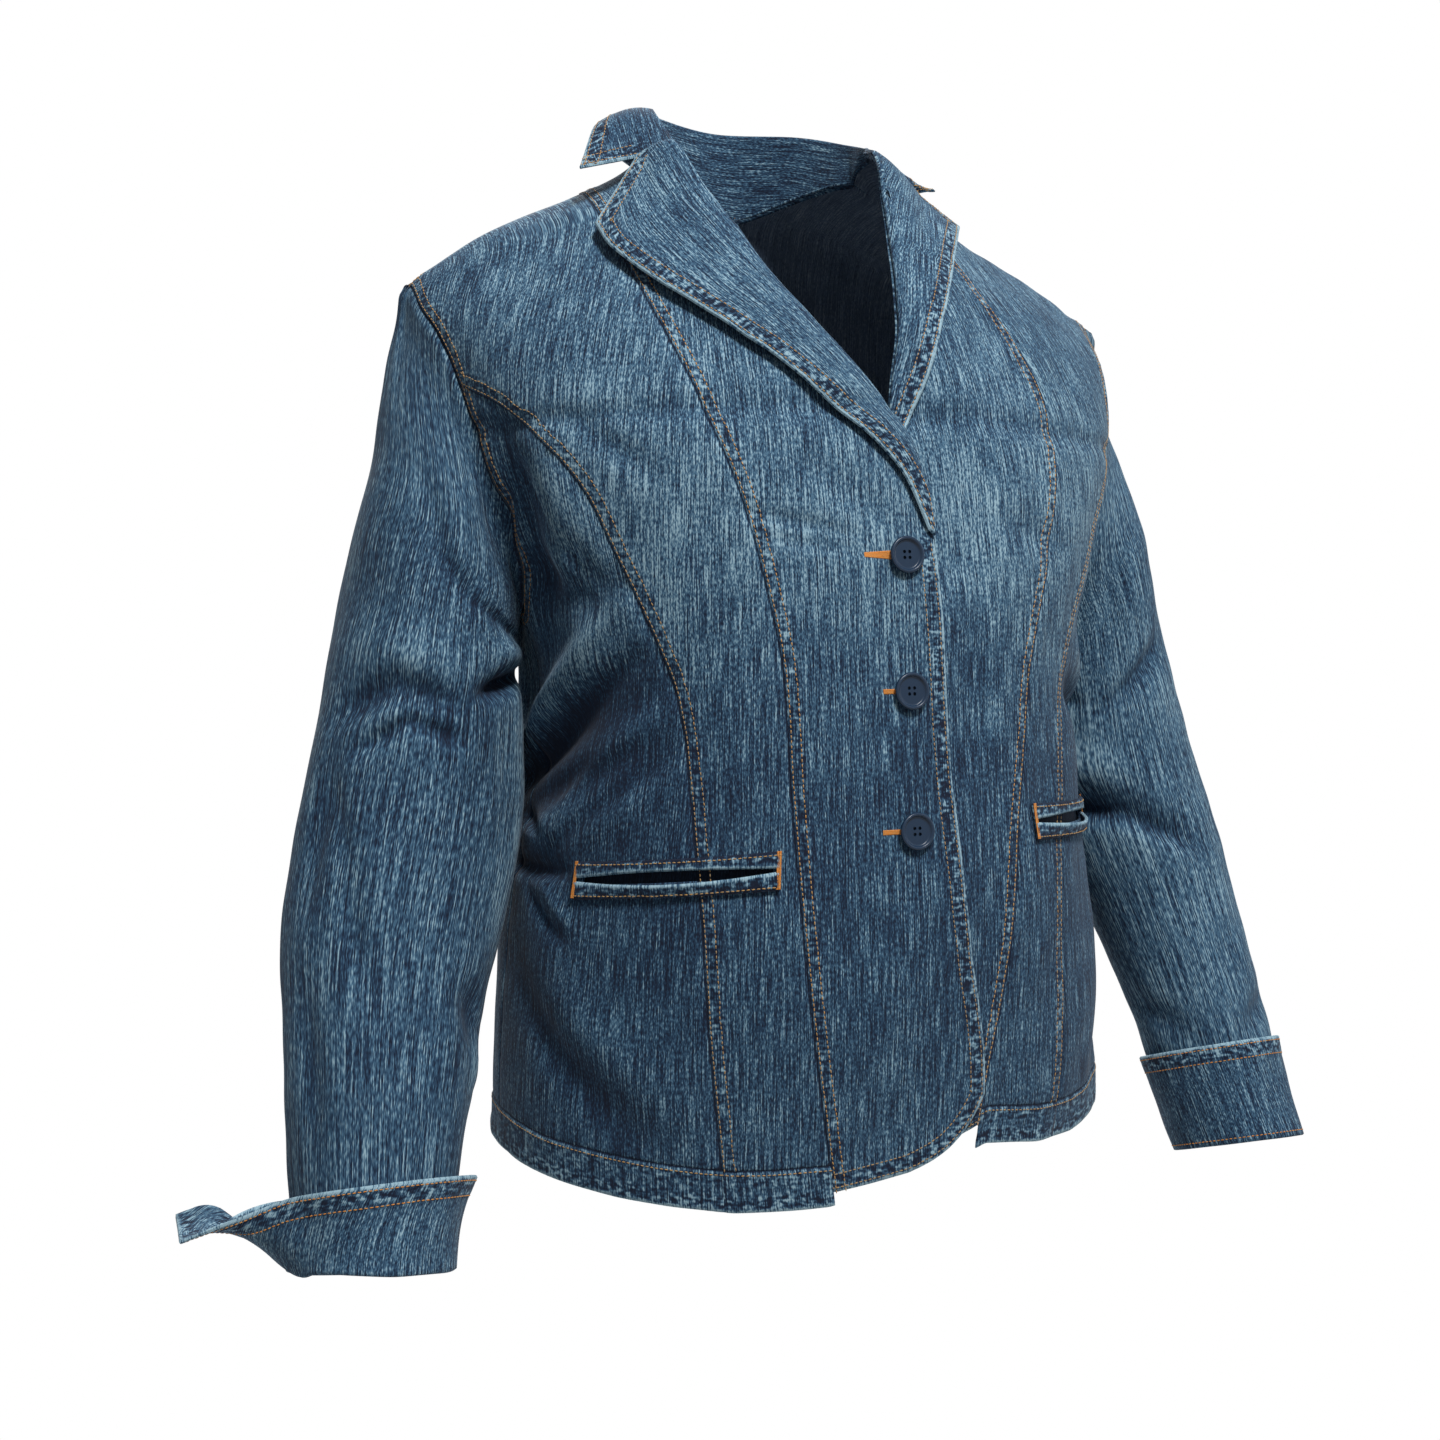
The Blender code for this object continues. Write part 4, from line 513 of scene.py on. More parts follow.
def sleeve(around, down, side, out=0.0):
    """Cloth surface of the sleeve: form, folds, and out metres more."""
    around, down = together(around, down)
    base = sleeve_form(around, down, side)
    lift = fold_sum(np.mod(around, 360), down, SLEEVE_FOLDS[side], ARM_RADIUS) + out
    lift = lift + SLEEVE_DRAPE * drape(base) * smooth(down / 0.04)
    upper = smooth(2 * cos_sin(around)[0] + 1)
    lift = lift + CAP_PUFF * smooth(down / 0.008) * (1 - ease(down, 0.02, 0.05)) * upper
    return base + sleeve_normal(around, down, side) * lift[..., None]


# ---------------------------------------------------------------- seams and their reliefs

STEP = 0.0024            # spacing of the shells' points
DEGREE_WIDTH = 0.0031    # metres of cloth for a degree round the torso
LAP_RISE, LAP_WIDTH, LAP_FADE = 0.0004, 0.0095, 0.003    # the stitched side of a seam is thicker
VALLEY_DEPTH, VALLEY_WIDTH = 0.0005, 0.0012
PUCKER_DEPTH, PUCKER_SPREAD, EDGE_WEAR_SPREAD = 0.00045, 0.0045, 0.005
# Puckers of a stitched seam, a plain seam and an edge: share, distance from it, length of waves, their shift
PUCKERS = (0.7, 0.0050, 0.0088, 0.0), (0.5, 0.0020, 0.0096, 0.7), (1.0, 0.0055, 0.0074, 1.3)
EDGE_BULGE = 0.35        # how far a cut edge bulges, of the wall
FAR = 1.0                # distance noted where a piece has no such seam
ROW_SPACING = 0.0015     # of the points of a row of stitches


def levels(first, last, step=STEP):
    return np.linspace(first, last, max(2, int(round((last - first) / step)) + 1))


def own_to_grid(own, nominal, side):
    angle = SIDES[side] * own
    return angle, level(angle, nominal, side)


def running(points, axis=0):
    """Distance run along a grid of points, from its first row or column."""
    steps = np.linalg.norm(np.diff(points, axis=axis), axis=-1)
    return np.concatenate([np.zeros_like(steps.take([0], axis)), np.cumsum(steps, axis=axis)], axis=axis)


def waves(run, length, seed):
    """Uneven ripple along a seam, between about -1 and 1."""
    share = run / length + 0.55 * np.sin(run / length * 0.83 + seed) + 0.3 * np.sin(run / length * 0.37)
    strength = 0.62 + 0.38 * np.sin(run / length * 0.61 + 2.0 * seed)
    return strength * (0.62 * np.sin(2 * math.pi * share + seed) + 0.34 * np.sin(3.7 * share + 2.1 * seed)
                       + 0.25 * np.sin(2.1 * share + 3.7 * seed))


def near_lines(points, lines):
    """How far each point of a grid lies from lines of seams or edges, and how far along them."""
    shape = points.shape[:2]
    if not lines:
        return np.full(shape, FAR), np.zeros(shape)
    spots = np.concatenate(lines)
    ways = np.concatenate([unit(np.gradient(line, axis=0)) for line in lines])
    runs = np.concatenate([running(line) for line in lines])
    reach = max(np.linalg.norm(np.diff(line, axis=0), axis=1).max() for line in lines)
    tree = KDTree(len(spots))
    for index, spot in enumerate(spots):
        tree.insert(spot, index)
    tree.balance()
    points = points.reshape(-1, 3)
    nearest = np.array([tree.find(point)[1] for point in points])
    offset = points - spots[nearest]
    along = np.clip(np.sum(offset * ways[nearest], -1), -reach / 2, reach / 2)
    gap = np.linalg.norm(offset - along[:, None] * ways[nearest], axis=-1)
    return gap.reshape(shape), (runs[nearest] + along).reshape(shape)


def relief(points, lapped, unlapped, edges, seed):
    """Rise of the cloth near its seams and edges, its wear there, and the distances from them."""
    measured = [near_lines(points, lines) for lines in (lapped, unlapped, edges)]
    lap_gap, low_gap, edge_gap = (gap for gap, _ in measured)
    seam_gap = np.minimum(lap_gap, low_gap)
    lift = -VALLEY_DEPTH * np.exp(-(seam_gap / VALLEY_WIDTH)**2)
    lap = (1 - ease(lap_gap, LAP_WIDTH, LAP_FADE)) * smooth(lap_gap / VALLEY_WIDTH)
    lap = np.maximum(lap, 1 - ease(edge_gap, LAP_WIDTH, LAP_FADE))
    puckers = sum(share * np.exp(-((gap - middle) / PUCKER_SPREAD)**2) * waves(run, length, seed + shift)
                  for (gap, run), (share, middle, length, shift) in zip(measured, PUCKERS))
    (lap_share, lap_middle, *_), _, (_, edge_middle, *_) = PUCKERS
    strip = lap_share * np.exp(-((lap_gap - lap_middle) / PUCKER_SPREAD)**2)
    strip = strip + np.exp(-((edge_gap - edge_middle) / EDGE_WEAR_SPREAD)**2)
    return lift + LAP_RISE * lap + PUCKER_DEPTH * puckers, np.minimum(strip, 1.0), seam_gap, edge_gap


# ---------------------------------------------------------------- shells of cloth

MAP_SHIFT = np.array([0.37, 0.11])       # of the cloth map, from each piece to the next

FACES = {}               # outer grid of each piece of cloth, for the rows of stitches on it


def add_object(name, data):
    """Object of some data, in the scene."""
    made = bpy.data.objects.new(name, data)
    bpy.context.scene.collection.objects.link(made)
    return made


def bake(piece):
    """Replace an object's mesh by the outcome of its modifier."""
    bpy.context.view_layer.update()
    made = bpy.data.meshes.new_from_object(piece.evaluated_get(bpy.context.evaluated_depsgraph_get()))
    piece.modifiers.clear()
    piece.data = made
    return made


def grid_normals(points, around=False):
    if around:
        across = np.roll(points, -1, axis=1) - np.roll(points, 1, axis=1)
    else:
        across = np.gradient(points, axis=1)
    return unit(np.cross(across, np.gradient(points, axis=0)))


def grain_map(points, normals, grain):
    """Cloth map of a grid whose threads follow a direction in space."""
    along = unit(grain - normals * np.sum(normals * grain, -1, keepdims=True))
    across = np.cross(along, normals)
    steps = []
    for axis in (0, 1):
        move = np.diff(points, axis=axis)
        cut = (slice(None, -1), slice(None)) if axis == 0 else (slice(None), slice(None, -1))
        steps.append(np.stack([np.sum(move * across[cut], -1), np.sum(move * along[cut], -1)], -1))
    middle = points.shape[1] // 2
    column_map = np.concatenate([np.zeros((1, 2)), np.cumsum(steps[0][:, middle], axis=0)])
    row_map = np.concatenate([np.zeros((len(points), 1, 2)), np.cumsum(steps[1], axis=1)], axis=1)
    return row_map - row_map[:, middle][:, None] + column_map[:, None]


def flat_map(points, around):
    """Cloth map of a grid, in metres: across from its middle column and along from its first row."""
    closed = np.concatenate([points, points[:, :1]], axis=1) if around else points
    across = running(closed, 1)
    return np.stack([across - across[:, closed.shape[1] // 2][:, None], running(closed)], -1)


def cell_rings(rows, cols, span, wide):
    """Corner numbers of every cell of a grid, counted on points and on the cloth map."""
    r, c = (v.ravel() for v in np.meshgrid(np.arange(rows - 1), np.arange(span), indexing="ij"))
    nxt = (c + 1) % cols
    points = np.stack([r * cols + c, r * cols + nxt, (r + 1) * cols + nxt, (r + 1) * cols + c], 1)
    maps = np.stack([r * wide + c, r * wide + c + 1, (r + 1) * wide + c + 1, (r + 1) * wide + c], 1)
    return points, maps


def shell(name, face, inner_face, cloth_map, around, holes, values):
    """Closed shell between two grids, with a bulging rim; its inner side takes the second material."""
    rows, cols = face.shape[:2]
    span = cols if around else cols - 1
    ring, ring_map = cell_rings(rows, cols, span, span + 1)
    if holes is not None:
        ring, ring_map = ring[~holes.ravel()], ring_map[~holes.ravel()]
    outer, inner = face.reshape(-1, 3), inner_face.reshape(-1, 3)
    half = len(outer)
    # the rim: sides of cells that no other cell shares, and the way out of the cell there
    p, q = ring.ravel(), np.roll(ring, -1, axis=1).ravel()
    rim = ~np.isin(p * half + q, q * half + p)
    owner = np.repeat(np.arange(len(ring)), 4)[rim]
    map_p, map_q = ring_map.ravel()[rim], np.roll(ring_map, -1, axis=1).ravel()[rim]
    p, q = p[rim], q[rim]
    along = unit(outer[q] - outer[p])
    away = (outer[p] + outer[q]) / 2 - outer[ring].mean(1)[owner]
    away = unit(away - along * np.sum(away * along, -1, keepdims=True))
    push = np.zeros((half, 3))
    np.add.at(push, p, away)
    np.add.at(push, q, away)
    # a third row of points along the rim, half-way through the wall
    used = np.unique(np.concatenate([p, q]))
    place = np.full(half, -1)
    place[used] = 2 * half + np.arange(len(used))
    wall = np.linalg.norm(outer[used] - inner[used], axis=-1, keepdims=True)
    bulge = (outer[used] + inner[used]) / 2 + unit(push[used]) * wall * EDGE_BULGE
    verts = np.concatenate([outer, inner, bulge])
    quads = np.concatenate([ring, half + ring[:, [0, 3, 2, 1]], np.stack([q, p, place[p], place[q]], 1),
                            np.stack([place[q], place[p], half + p, half + q], 1)])
    rim_map = np.stack([map_q, map_p, map_p, map_q], 1)
    maps = np.concatenate([ring_map, ring_map[:, [0, 3, 2, 1]], rim_map, rim_map])
    inside = np.repeat([0, 1, 0], [len(ring), len(ring), 2 * len(p)])
    flat_shaded = np.repeat([False, True], [2 * len(ring), 2 * len(p)])
    # leave out the points in the holes
    keep = np.unique(quads)
    number = np.full(len(verts), -1)
    number[keep] = np.arange(len(keep))
    mesh = bpy.data.meshes.new(name)
    mesh.vertices.add(len(keep))
    mesh.vertices.foreach_set("co", verts[keep].astype(np.float32).ravel())
    mesh.loops.add(quads.size)
    mesh.loops.foreach_set("vertex_index", number[quads].astype(np.int32).ravel())
    mesh.polygons.add(len(quads))
    mesh.polygons.foreach_set("loop_start", np.arange(0, quads.size, 4, dtype=np.int32))
    mesh.polygons.foreach_set("material_index", inside.astype(np.int32))
    mesh.update(calc_edges=True)
    mesh.shade_smooth()
    mesh.attributes.new("sharp_face", "BOOLEAN", "FACE").data.foreach_set("value", flat_shaded)
    uv = mesh.uv_layers.new(name="cloth")
    uv.data.foreach_set("uv", cloth_map.reshape(-1, 2)[maps].astype(np.float32).ravel())
    for label, grid in values.items():
        whole = np.concatenate([grid.ravel(), grid.ravel(), grid.ravel()[used]])[keep]
        mesh.attributes.new(label, "FLOAT", "POINT").data.foreach_set("value", whole.astype(np.float32))
    return add_object(name, mesh)


def lay(part, side, face, covers, thick=WALL, lapped=(), unlapped=(), edges=(), around=False, holes=None,
        seed=0.0, slot="denim", outward=None, cloth_map=None, fade_and_painted_shading=0.0, normals=None, nodes=("",)):
    """Piece of cloth whose outer side is a grid of points, raised near its seams and edges.

    The grid is turned over where its normals point away from outward.
    """
    normals = grid_normals(face, around) if normals is None else normals
    fade_and_painted_shading = np.broadcast_to(fade_and_painted_shading, face.shape[:2])
    cloth_map = flat_map(face, around) if cloth_map is None else cloth_map
    if outward is not None and np.sum(normals * outward) < 0:
        face, normals, cloth_map, fade_and_painted_shading = face[:, ::-1], -normals[:, ::-1], cloth_map[:, ::-1], fade_and_painted_shading[:, ::-1]
        holes = None if holes is None else holes[:, ::-1]
    lift, strip, seam_gap, edge_gap = relief(face, list(lapped), list(unlapped), list(edges), seed)
    raised = face + normals * lift[..., None]
    tail = "_" + side if side else ""
    piece = shell("cloth_" + part + tail, raised, raised - normals * thick,
                  cloth_map + len(FACES) * MAP_SHIFT, around, holes,
                  {"strip": strip, "seam_gap": seam_gap, "edge_gap": edge_gap, "fade_and_painted_shading": fade_and_painted_shading})
    for cover in covers:
        piece.data.materials.append(cover)
    FACES[part + tail] = raised
    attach(piece, "root")
    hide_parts(*[part + node + tail for node in nodes])


def beside(line, name, gap):
    """Line at a distance from an edge or seam, on the side where the piece lies, with its outward ways."""
    rows, cols = FACES[name].shape[:2]
    rings, _ = cell_rings(rows, cols, cols - 1, cols)
    tree = BVHTree.FromPolygons(FACES[name].reshape(-1, 3).tolist(), rings.tolist())
    run = running(line)
    places = np.linspace(0, run[-1], max(3, int(run[-1] / ROW_SPACING)))
    line = np.stack([np.interp(places, run, line[:, k]) for k in range(3)], 1)
    out = np.array([tree.find_nearest(point)[1] for point in line])
    sideways = unit(np.cross(out, unit(np.gradient(line, axis=0))))
    best = None
    for sign in (1.0, -1.0):
        aim = line + sideways * gap * sign
        found = [tree.find_nearest(point) for point in aim]
        spots, outs = (np.array([place[k] for place in found]) for k in (0, 1))
        miss = np.median(np.linalg.norm(spots - aim, axis=1))
        if best is None or miss < best[0]:
            best = miss, spots, outs
    return best[1:]


# ---------------------------------------------------------------- the pieces' grids

CENTRE_COLUMNS, MIDDLE_COLUMNS, SIDE_COLUMNS = 60, 36, 44
BACK_COLUMNS, SHOULDER_COLUMNS, BACK_STEP = 66, 30, 0.0036
LEVEL_TO = 0.25          # rows of the side panel are level up to here, and then rise to the armhole
TOP_BLEND = 0.45         # share of its height where its columns start to spread to the armhole
DIP_FROM = 0.560         # rows of the back sink towards the neck from here
NECK_BLEND_FROM, NECK_BLEND_SHORT = 0.45, 0.50    # its columns gather towards the neck from the first level
CUFF_COLUMNS, CUFF_ROWS, TAB_COLUMNS, CUFF_SMOOTHING = 130, 24, 34, 8
ROUND_ARM = 100          # columns of the right cuff that surely lie round the arm
ROUND = np.linspace(0, 360, 121)[:-1]    # columns of the sleeves and the left cuff
LAPEL_COLUMNS, WELT_COLUMNS = 40, 70


def front_centre_grid(side):
    rise, corner = CENTRE_HEM[side]
    nominal = levels(rise, RIDGE_UP)[:, None]
    columns = even(CENTRE_COLUMNS)[None, :]
    keep = 1 - ease(nominal, rise, CENTRE_HEM_TOP - rise)
    nominal = nominal + corner * columns**CENTRE_HEM_POWER * keep
    inner = column(nominal, PRINCESS, side)
    own = inner + (column(nominal, FRONT_EDGE, side) - inner) * columns
    return own_to_grid(own, nominal, side)


def front_middle_grid(side):
    join = armhole_up(join_around(side))
    nominal = levels(BAND_HEIGHT, RIDGE_UP)[:, None]
    inner = column(nominal, PRINCESS, side)
    outer = np.where(nominal > join, armhole_angle(nominal, side), column(nominal, SIDE_FRONT, side))
    own = inner + (outer - inner) * even(MIDDLE_COLUMNS)[None, :]
    return own_to_grid(own, nominal, side) + (own, nominal + 0 * own)


def front_side_grid(side):
    join = join_around(side)
    tops = armhole_up(np.linspace(join, 180, SIDE_COLUMNS))
    high = armhole_up(join)
    rows = levels(BAND_HEIGHT, high)[:, None]
    scale = np.where(rows <= LEVEL_TO, 0.0, (rows - LEVEL_TO) / (high - LEVEL_TO))
    nominal = np.where(rows <= LEVEL_TO, rows + 0 * tops, LEVEL_TO + scale * (tops - LEVEL_TO))
    seam = column(nominal, SIDE_FRONT, side)
    top_angle = armhole_angle(tops, side)
    top_share = (top_angle - seam[-1]) / (90 - seam[-1])
    blend = ease((nominal - nominal[0]) / (nominal[-1] - nominal[0]), TOP_BLEND, 1 - TOP_BLEND)
    own = seam + (90 - seam) * (even(SIDE_COLUMNS) * (1 - blend) + top_share * blend)
    own[-1] = top_angle
    return own_to_grid(own, nominal, side) + (own, nominal)


def back_grid(side):
    nominal = levels(BAND_HEIGHT, RIDGE_UP, BACK_STEP)[:, None]
    outer = np.where(nominal <= armhole_up(180.0), 90.0, armhole_angle(nominal, side, True))
    neck = neck_angle(side)
    at_neck = 1 - neck / 90
    shoulder = at_neck * even(SHOULDER_COLUMNS)
    behind_neck = at_neck + (1 - at_neck) * even(BACK_COLUMNS + 1 - SHOULDER_COLUMNS)[1:]
    blend = ease(nominal, NECK_BLEND_FROM, RIDGE_UP - NECK_BLEND_SHORT)
    share = even(BACK_COLUMNS) * (1 - blend) + np.concatenate([shoulder, behind_neck]) * blend
    own = outer + (180 - outer) * share
    dip = NECK_DIP * (1 - np.clip((180 - own) / neck, 0, 1)**NECK_DIP_POWER)
    nominal = nominal - dip * ease(nominal, DIP_FROM, RIDGE_UP - DIP_FROM)
    return own_to_grid(own, nominal, side)


def neck_angle(side):
    return float(column(RIDGE_UP, FRONT_EDGE, side))


def band_grid(side, part):
    rows = np.linspace(0, BAND_HEIGHT, 12)[:, None]
    princess, seam = column(rows, PRINCESS, side), column(rows, SIDE_FRONT, side)
    spans = {"middle": (princess, seam, 26), "side": (seam, 90.0, 60), "back": (90.0, 180.0, 96)}
    first, last, count = spans[part]
    own = first + (last - first) * even(count)
    return own_to_grid(own, rows + 0 * own, side)


def lapel_points(side, along, across):
    """Points of a lapel: along its roll line from the break, across to its outer edge."""
    roll_up = BREAK_UP + LAPEL_START + (GORGE_UP - BREAK_UP - LAPEL_START) * along
    edge = spline(roll_up, LAPELS[side])
    roll = column(roll_up, FRONT_EDGE, side)
    own = roll + (edge[..., 0] - roll) * across
    up = roll_up + (edge[..., 1] - roll_up) * across
    spread = 1 - np.exp(-((own - roll) / ROLL_LIFT_REACH[side])**2)
    lift = LAPEL_LIFT + (edge[..., 2] - LAPEL_LIFT) * across
    lift = lift + spline(roll_up, ROLL_LIFT)[..., 0] * spread * (1 - across)
    bulge = LAPEL_BULGE * np.sin(np.pi * across**0.7) * ease(along, LAPEL_BULGE_FROM[side], 0.3)
    return torso(SIDES[side] * own, up, lift + bulge, side)


def lapel_top(side, across):
    """Upper edge of a lapel: along the gorge to the notch, then straight to the tip."""
    start, tip = (lapel_points(side, np.array(1.0), np.array(end)) for end in (0.0, 1.0))
    notch = torso(SIDES[side] * NOTCH[side][0], *NOTCH[side][1:], side)
    across = np.asarray(across, float)[..., None]
    part = np.clip(across / NOTCH_SHARE, 0, 1)
    hump = GORGE_HUMP * np.sin(np.pi * part)**0.6 * np.array([0.0, -0.6, 0.8])
    beyond = notch + (tip - notch) * (across - NOTCH_SHARE) / (1 - NOTCH_SHARE)
    return np.where(across < NOTCH_SHARE, start + (notch - start) * part + hump, beyond)


def lapel_face(side, along, across):
    raised = lapel_top(side, across) - lapel_points(side, np.ones_like(across), across)
    return lapel_points(side, along, across) + raised * (along**NOTCH_POWER)[..., None]


def gorge_points(side):
    """Roll-line end and notch of the gorge seam, on the lapel's face."""
    return lapel_top(side, np.array([0.0, NOTCH_SHARE]))


def neckline_point(side, share):
    """Neckline of the fronts and back: share 0 at the gorge, 1 at the shoulder seam, 2 at centre back."""
    if share <= 1:
        up = GORGE_UP + (RIDGE_UP - GORGE_UP) * share
        own = column(up, FRONT_EDGE, side)
        return torso(SIDES[side] * own, min(up, RIDGE_UP - 1e-4), 0.0, side)
    neck = neck_angle(side)
    part = 2 - share
    up = RIDGE_UP - NECK_DIP * (1 - part**NECK_DIP_POWER)
    return torso(SIDES[side] * (180 - neck * part), up)


def collar_curves(share):
    """Base, crest and outer edge of the collar at shares 0..1 from the right gorge to the left one."""
    crest = [gorge_points("R")[0], *[row[1] for row in COLLAR], gorge_points("L")[0]]
    edge = [COLLAR_TIPS["R"], *[row[2] for row in COLLAR], COLLAR_TIPS["L"]]
    knots = np.array([0.0, 0.20, 0.36, 0.50, 0.64, 0.80, 1.0])
    places = np.interp(share, knots, [0.0, 1.0, 1.5, 2.0, 1.5, 1.0, 0.0])
    base = np.array([neckline_point("R" if s < 0.5 else "L", p) for s, p in zip(share, places)])
    return [base] + [spline(share, np.column_stack([knots, np.array(rows)])) for rows in (crest, edge)]


def collar_grid(share, across):
    """Face of the collar: across 0 at the neckline, FOLD_SHARE at the crest, 1 at the outer edge."""
    base, crest, edge = (curve[:, None] for curve in collar_curves(share))
    turned = np.clip((across - FOLD_SHARE) / (1 - FOLD_SHARE), 0, 1)[None, :, None]
    base = base + unit(crest - base) * 3 * SEAM_GAP
    face = base + (crest - base) * np.clip(across / FOLD_SHARE, 0, 1)[None, :, None] + (edge - crest) * turned
    inside = smooth(np.minimum(share, 1 - share) / 0.12)[:, None, None]
    face[..., 2:3] += COLLAR_HUMP * inside * np.sin(np.pi * turned)**0.8
    for side, near in (("R", share), ("L", 1 - share)):
        start, notch = gorge_points(side)
        tip = np.array(COLLAR_TIPS[side])
        bent = np.where(turned < NOTCH_SHARE, start + (notch - start) * turned / NOTCH_SHARE,
                        notch + (tip - notch) * (turned - NOTCH_SHARE) / (1 - NOTCH_SHARE))
        keep = np.clip(1 - near / COLLAR_END_REACH, 0, 1)**2
        face = face + (bent - start - (tip - start) * turned) * keep[:, None, None]
    return face


def sleeve_end(around, side):
    """Length of the sleeve at degrees round the arm, down to the fold of its cuff."""
    return SLEEVE_LENGTH[side] + np.interp(np.mod(around, 360), *SLEEVE_END[side].T)


def cuff_down(side, around, rise):
    """Distance down the sleeve of the cuff: rise 0 at the fold, 1 at the free edge."""
    fold = sleeve_end(around, side) + CUFF_DROP
    return fold + (SLEEVE_LENGTH[side] + CUFF_DROP - CUFF_HEIGHT[side] - fold) * rise


def cuff_face(side, around, rise):
    """Cuff surface over the sleeve."""
    return sleeve(around, cuff_down(side, around, rise), side,
                  CUFF_STAND + DOUBLE_WALL + CUFF_FLARE[side] * rise**2)


def tab(band, rise, part):
    """Open end of the right cuff: its free edge sweeps away while the strip leans forwards and curls."""
    leave = unit(band[-1, -1] - band[-1, -3])
    turn = smooth(part / TAB_TURN)[:, None]
    heading = unit(leave * (1 - turn) + unit(np.array(TAB_AWAY)) * turn)
    edge = band[-1, -1] + np.cumsum(heading * (TAB_LENGTH / len(part)), axis=0)
    upright = unit(band[-1, -1] - band[0, -1])
    between = (rise[1:] + rise[:-1])[:, None] / 2
    curl = TAB_CURL * np.sin(0.93 * math.pi * part**0.75)
    lean = np.radians(TAB_LEAN * smooth((part + 0.06) / 0.85) + curl * (0.5 - between))[..., None]
    way = upright * np.cos(lean) + unit(np.array(TAB_FORWARD)) * np.sin(lean)
    step = way * (CUFF_HEIGHT["R"] * np.diff(rise)[:, None] * (1 - TAB_NARROW * smooth(part)))[..., None]
    below = np.cumsum(step[::-1], axis=0)[::-1]
    return edge - np.concatenate([below, np.zeros_like(below[:1])])


def cuff_right_grid():
    rise = even(CUFF_ROWS)
    rises, arounds = np.meshgrid(rise, np.linspace(CUFF_START, TAB_FROM, CUFF_COLUMNS), indexing="ij")
    normal = sleeve_normal(arounds, cuff_down("R", arounds, rises), "R")
    band = cuff_face("R", arounds, rises)
    swing = ease(arounds, CUFF_SWING_FROM, CUFF_START - CUFF_SWING_FROM)[..., None] * np.radians(CUFF_SWING)
    tall = np.linalg.norm(band - band[:1], axis=-1, keepdims=True)
    band = band[:1] + (band - band[:1]) * np.cos(swing) + normal * tall * np.sin(swing)
    return np.concatenate([band, tab(band, rise, even(TAB_COLUMNS)[1:])], axis=1)


# ---------------------------------------------------------------- materials

class Wire:
    """A value in a node tree that can be reckoned with."""

    def __init__(self, tree, socket):
        self.tree, self.socket = tree, socket

    def node(self, kind, output=0, settings=(), **inputs):
        """Any other node: settings are its own attributes, inputs go to sockets by name or by _number."""
        made = self.tree.nodes.new(kind)
        for key, value in dict(settings).items():
            setattr(made, key, value)
        for key, value in inputs.items():
            target = made.inputs[int(key[1:])] if key[0] == "_" else made.inputs[key.replace("_", " ")]
            if isinstance(value, Wire):
                self.tree.links.new(value.socket, target)
            else:
                target.default_value = value
        return Wire(self.tree, made.outputs[output])

    def math(self, operation, other=0.0, third=0.0):
        return self.node("ShaderNodeMath", settings={"operation": operation}, _0=self, _1=other, _2=third)

    def __add__(self, other):
        return self.math("ADD", other)

    def __mul__(self, other):
        return self.math("MULTIPLY", other)

    def __sub__(self, other):
        return self.math("SUBTRACT", other)

    def __truediv__(self, other):
        return self.math("DIVIDE", other)

    __radd__, __rmul__ = __add__, __mul__

    def bell(self, centre, width):
        """1 at the centre, falling away over the width."""
        part = (self - centre) / width
        return (part * part * -1.0).math("EXPONENT")

    def ramp(self, *stops):
        """Colours at places from 0 to 1."""
        made = self.tree.nodes.new("ShaderNodeValToRGB")
        while len(made.color_ramp.elements) < len(stops):
            made.color_ramp.elements.new(0.5)
        for element, (place, colour) in zip(made.color_ramp.elements, stops):
            element.position = place
            element.color = linear(colour)
        self.tree.links.new(self.socket, made.inputs["Fac"])
        return Wire(self.tree, made.outputs["Color"])


def linear(colour):
    """Linear colour of one that is given in levels up to 255."""
    shares = [c / 255.0 for c in colour]
    return (*[c / 12.92 if c < 0.04045 else ((c + 0.055) / 1.055)**2.4 for c in shares], 1.0)


def new_material(name, roughness):
    made = bpy.data.materials.new(name)
    made.use_nodes = True
    shader = made.node_tree.nodes["Principled BSDF"]
    shader.inputs["Roughness"].default_value = roughness
    return made, made.node_tree, shader


def attribute(tree, name):
    return Wire(tree, None).node("ShaderNodeAttribute", "Fac", {"attribute_name": name})


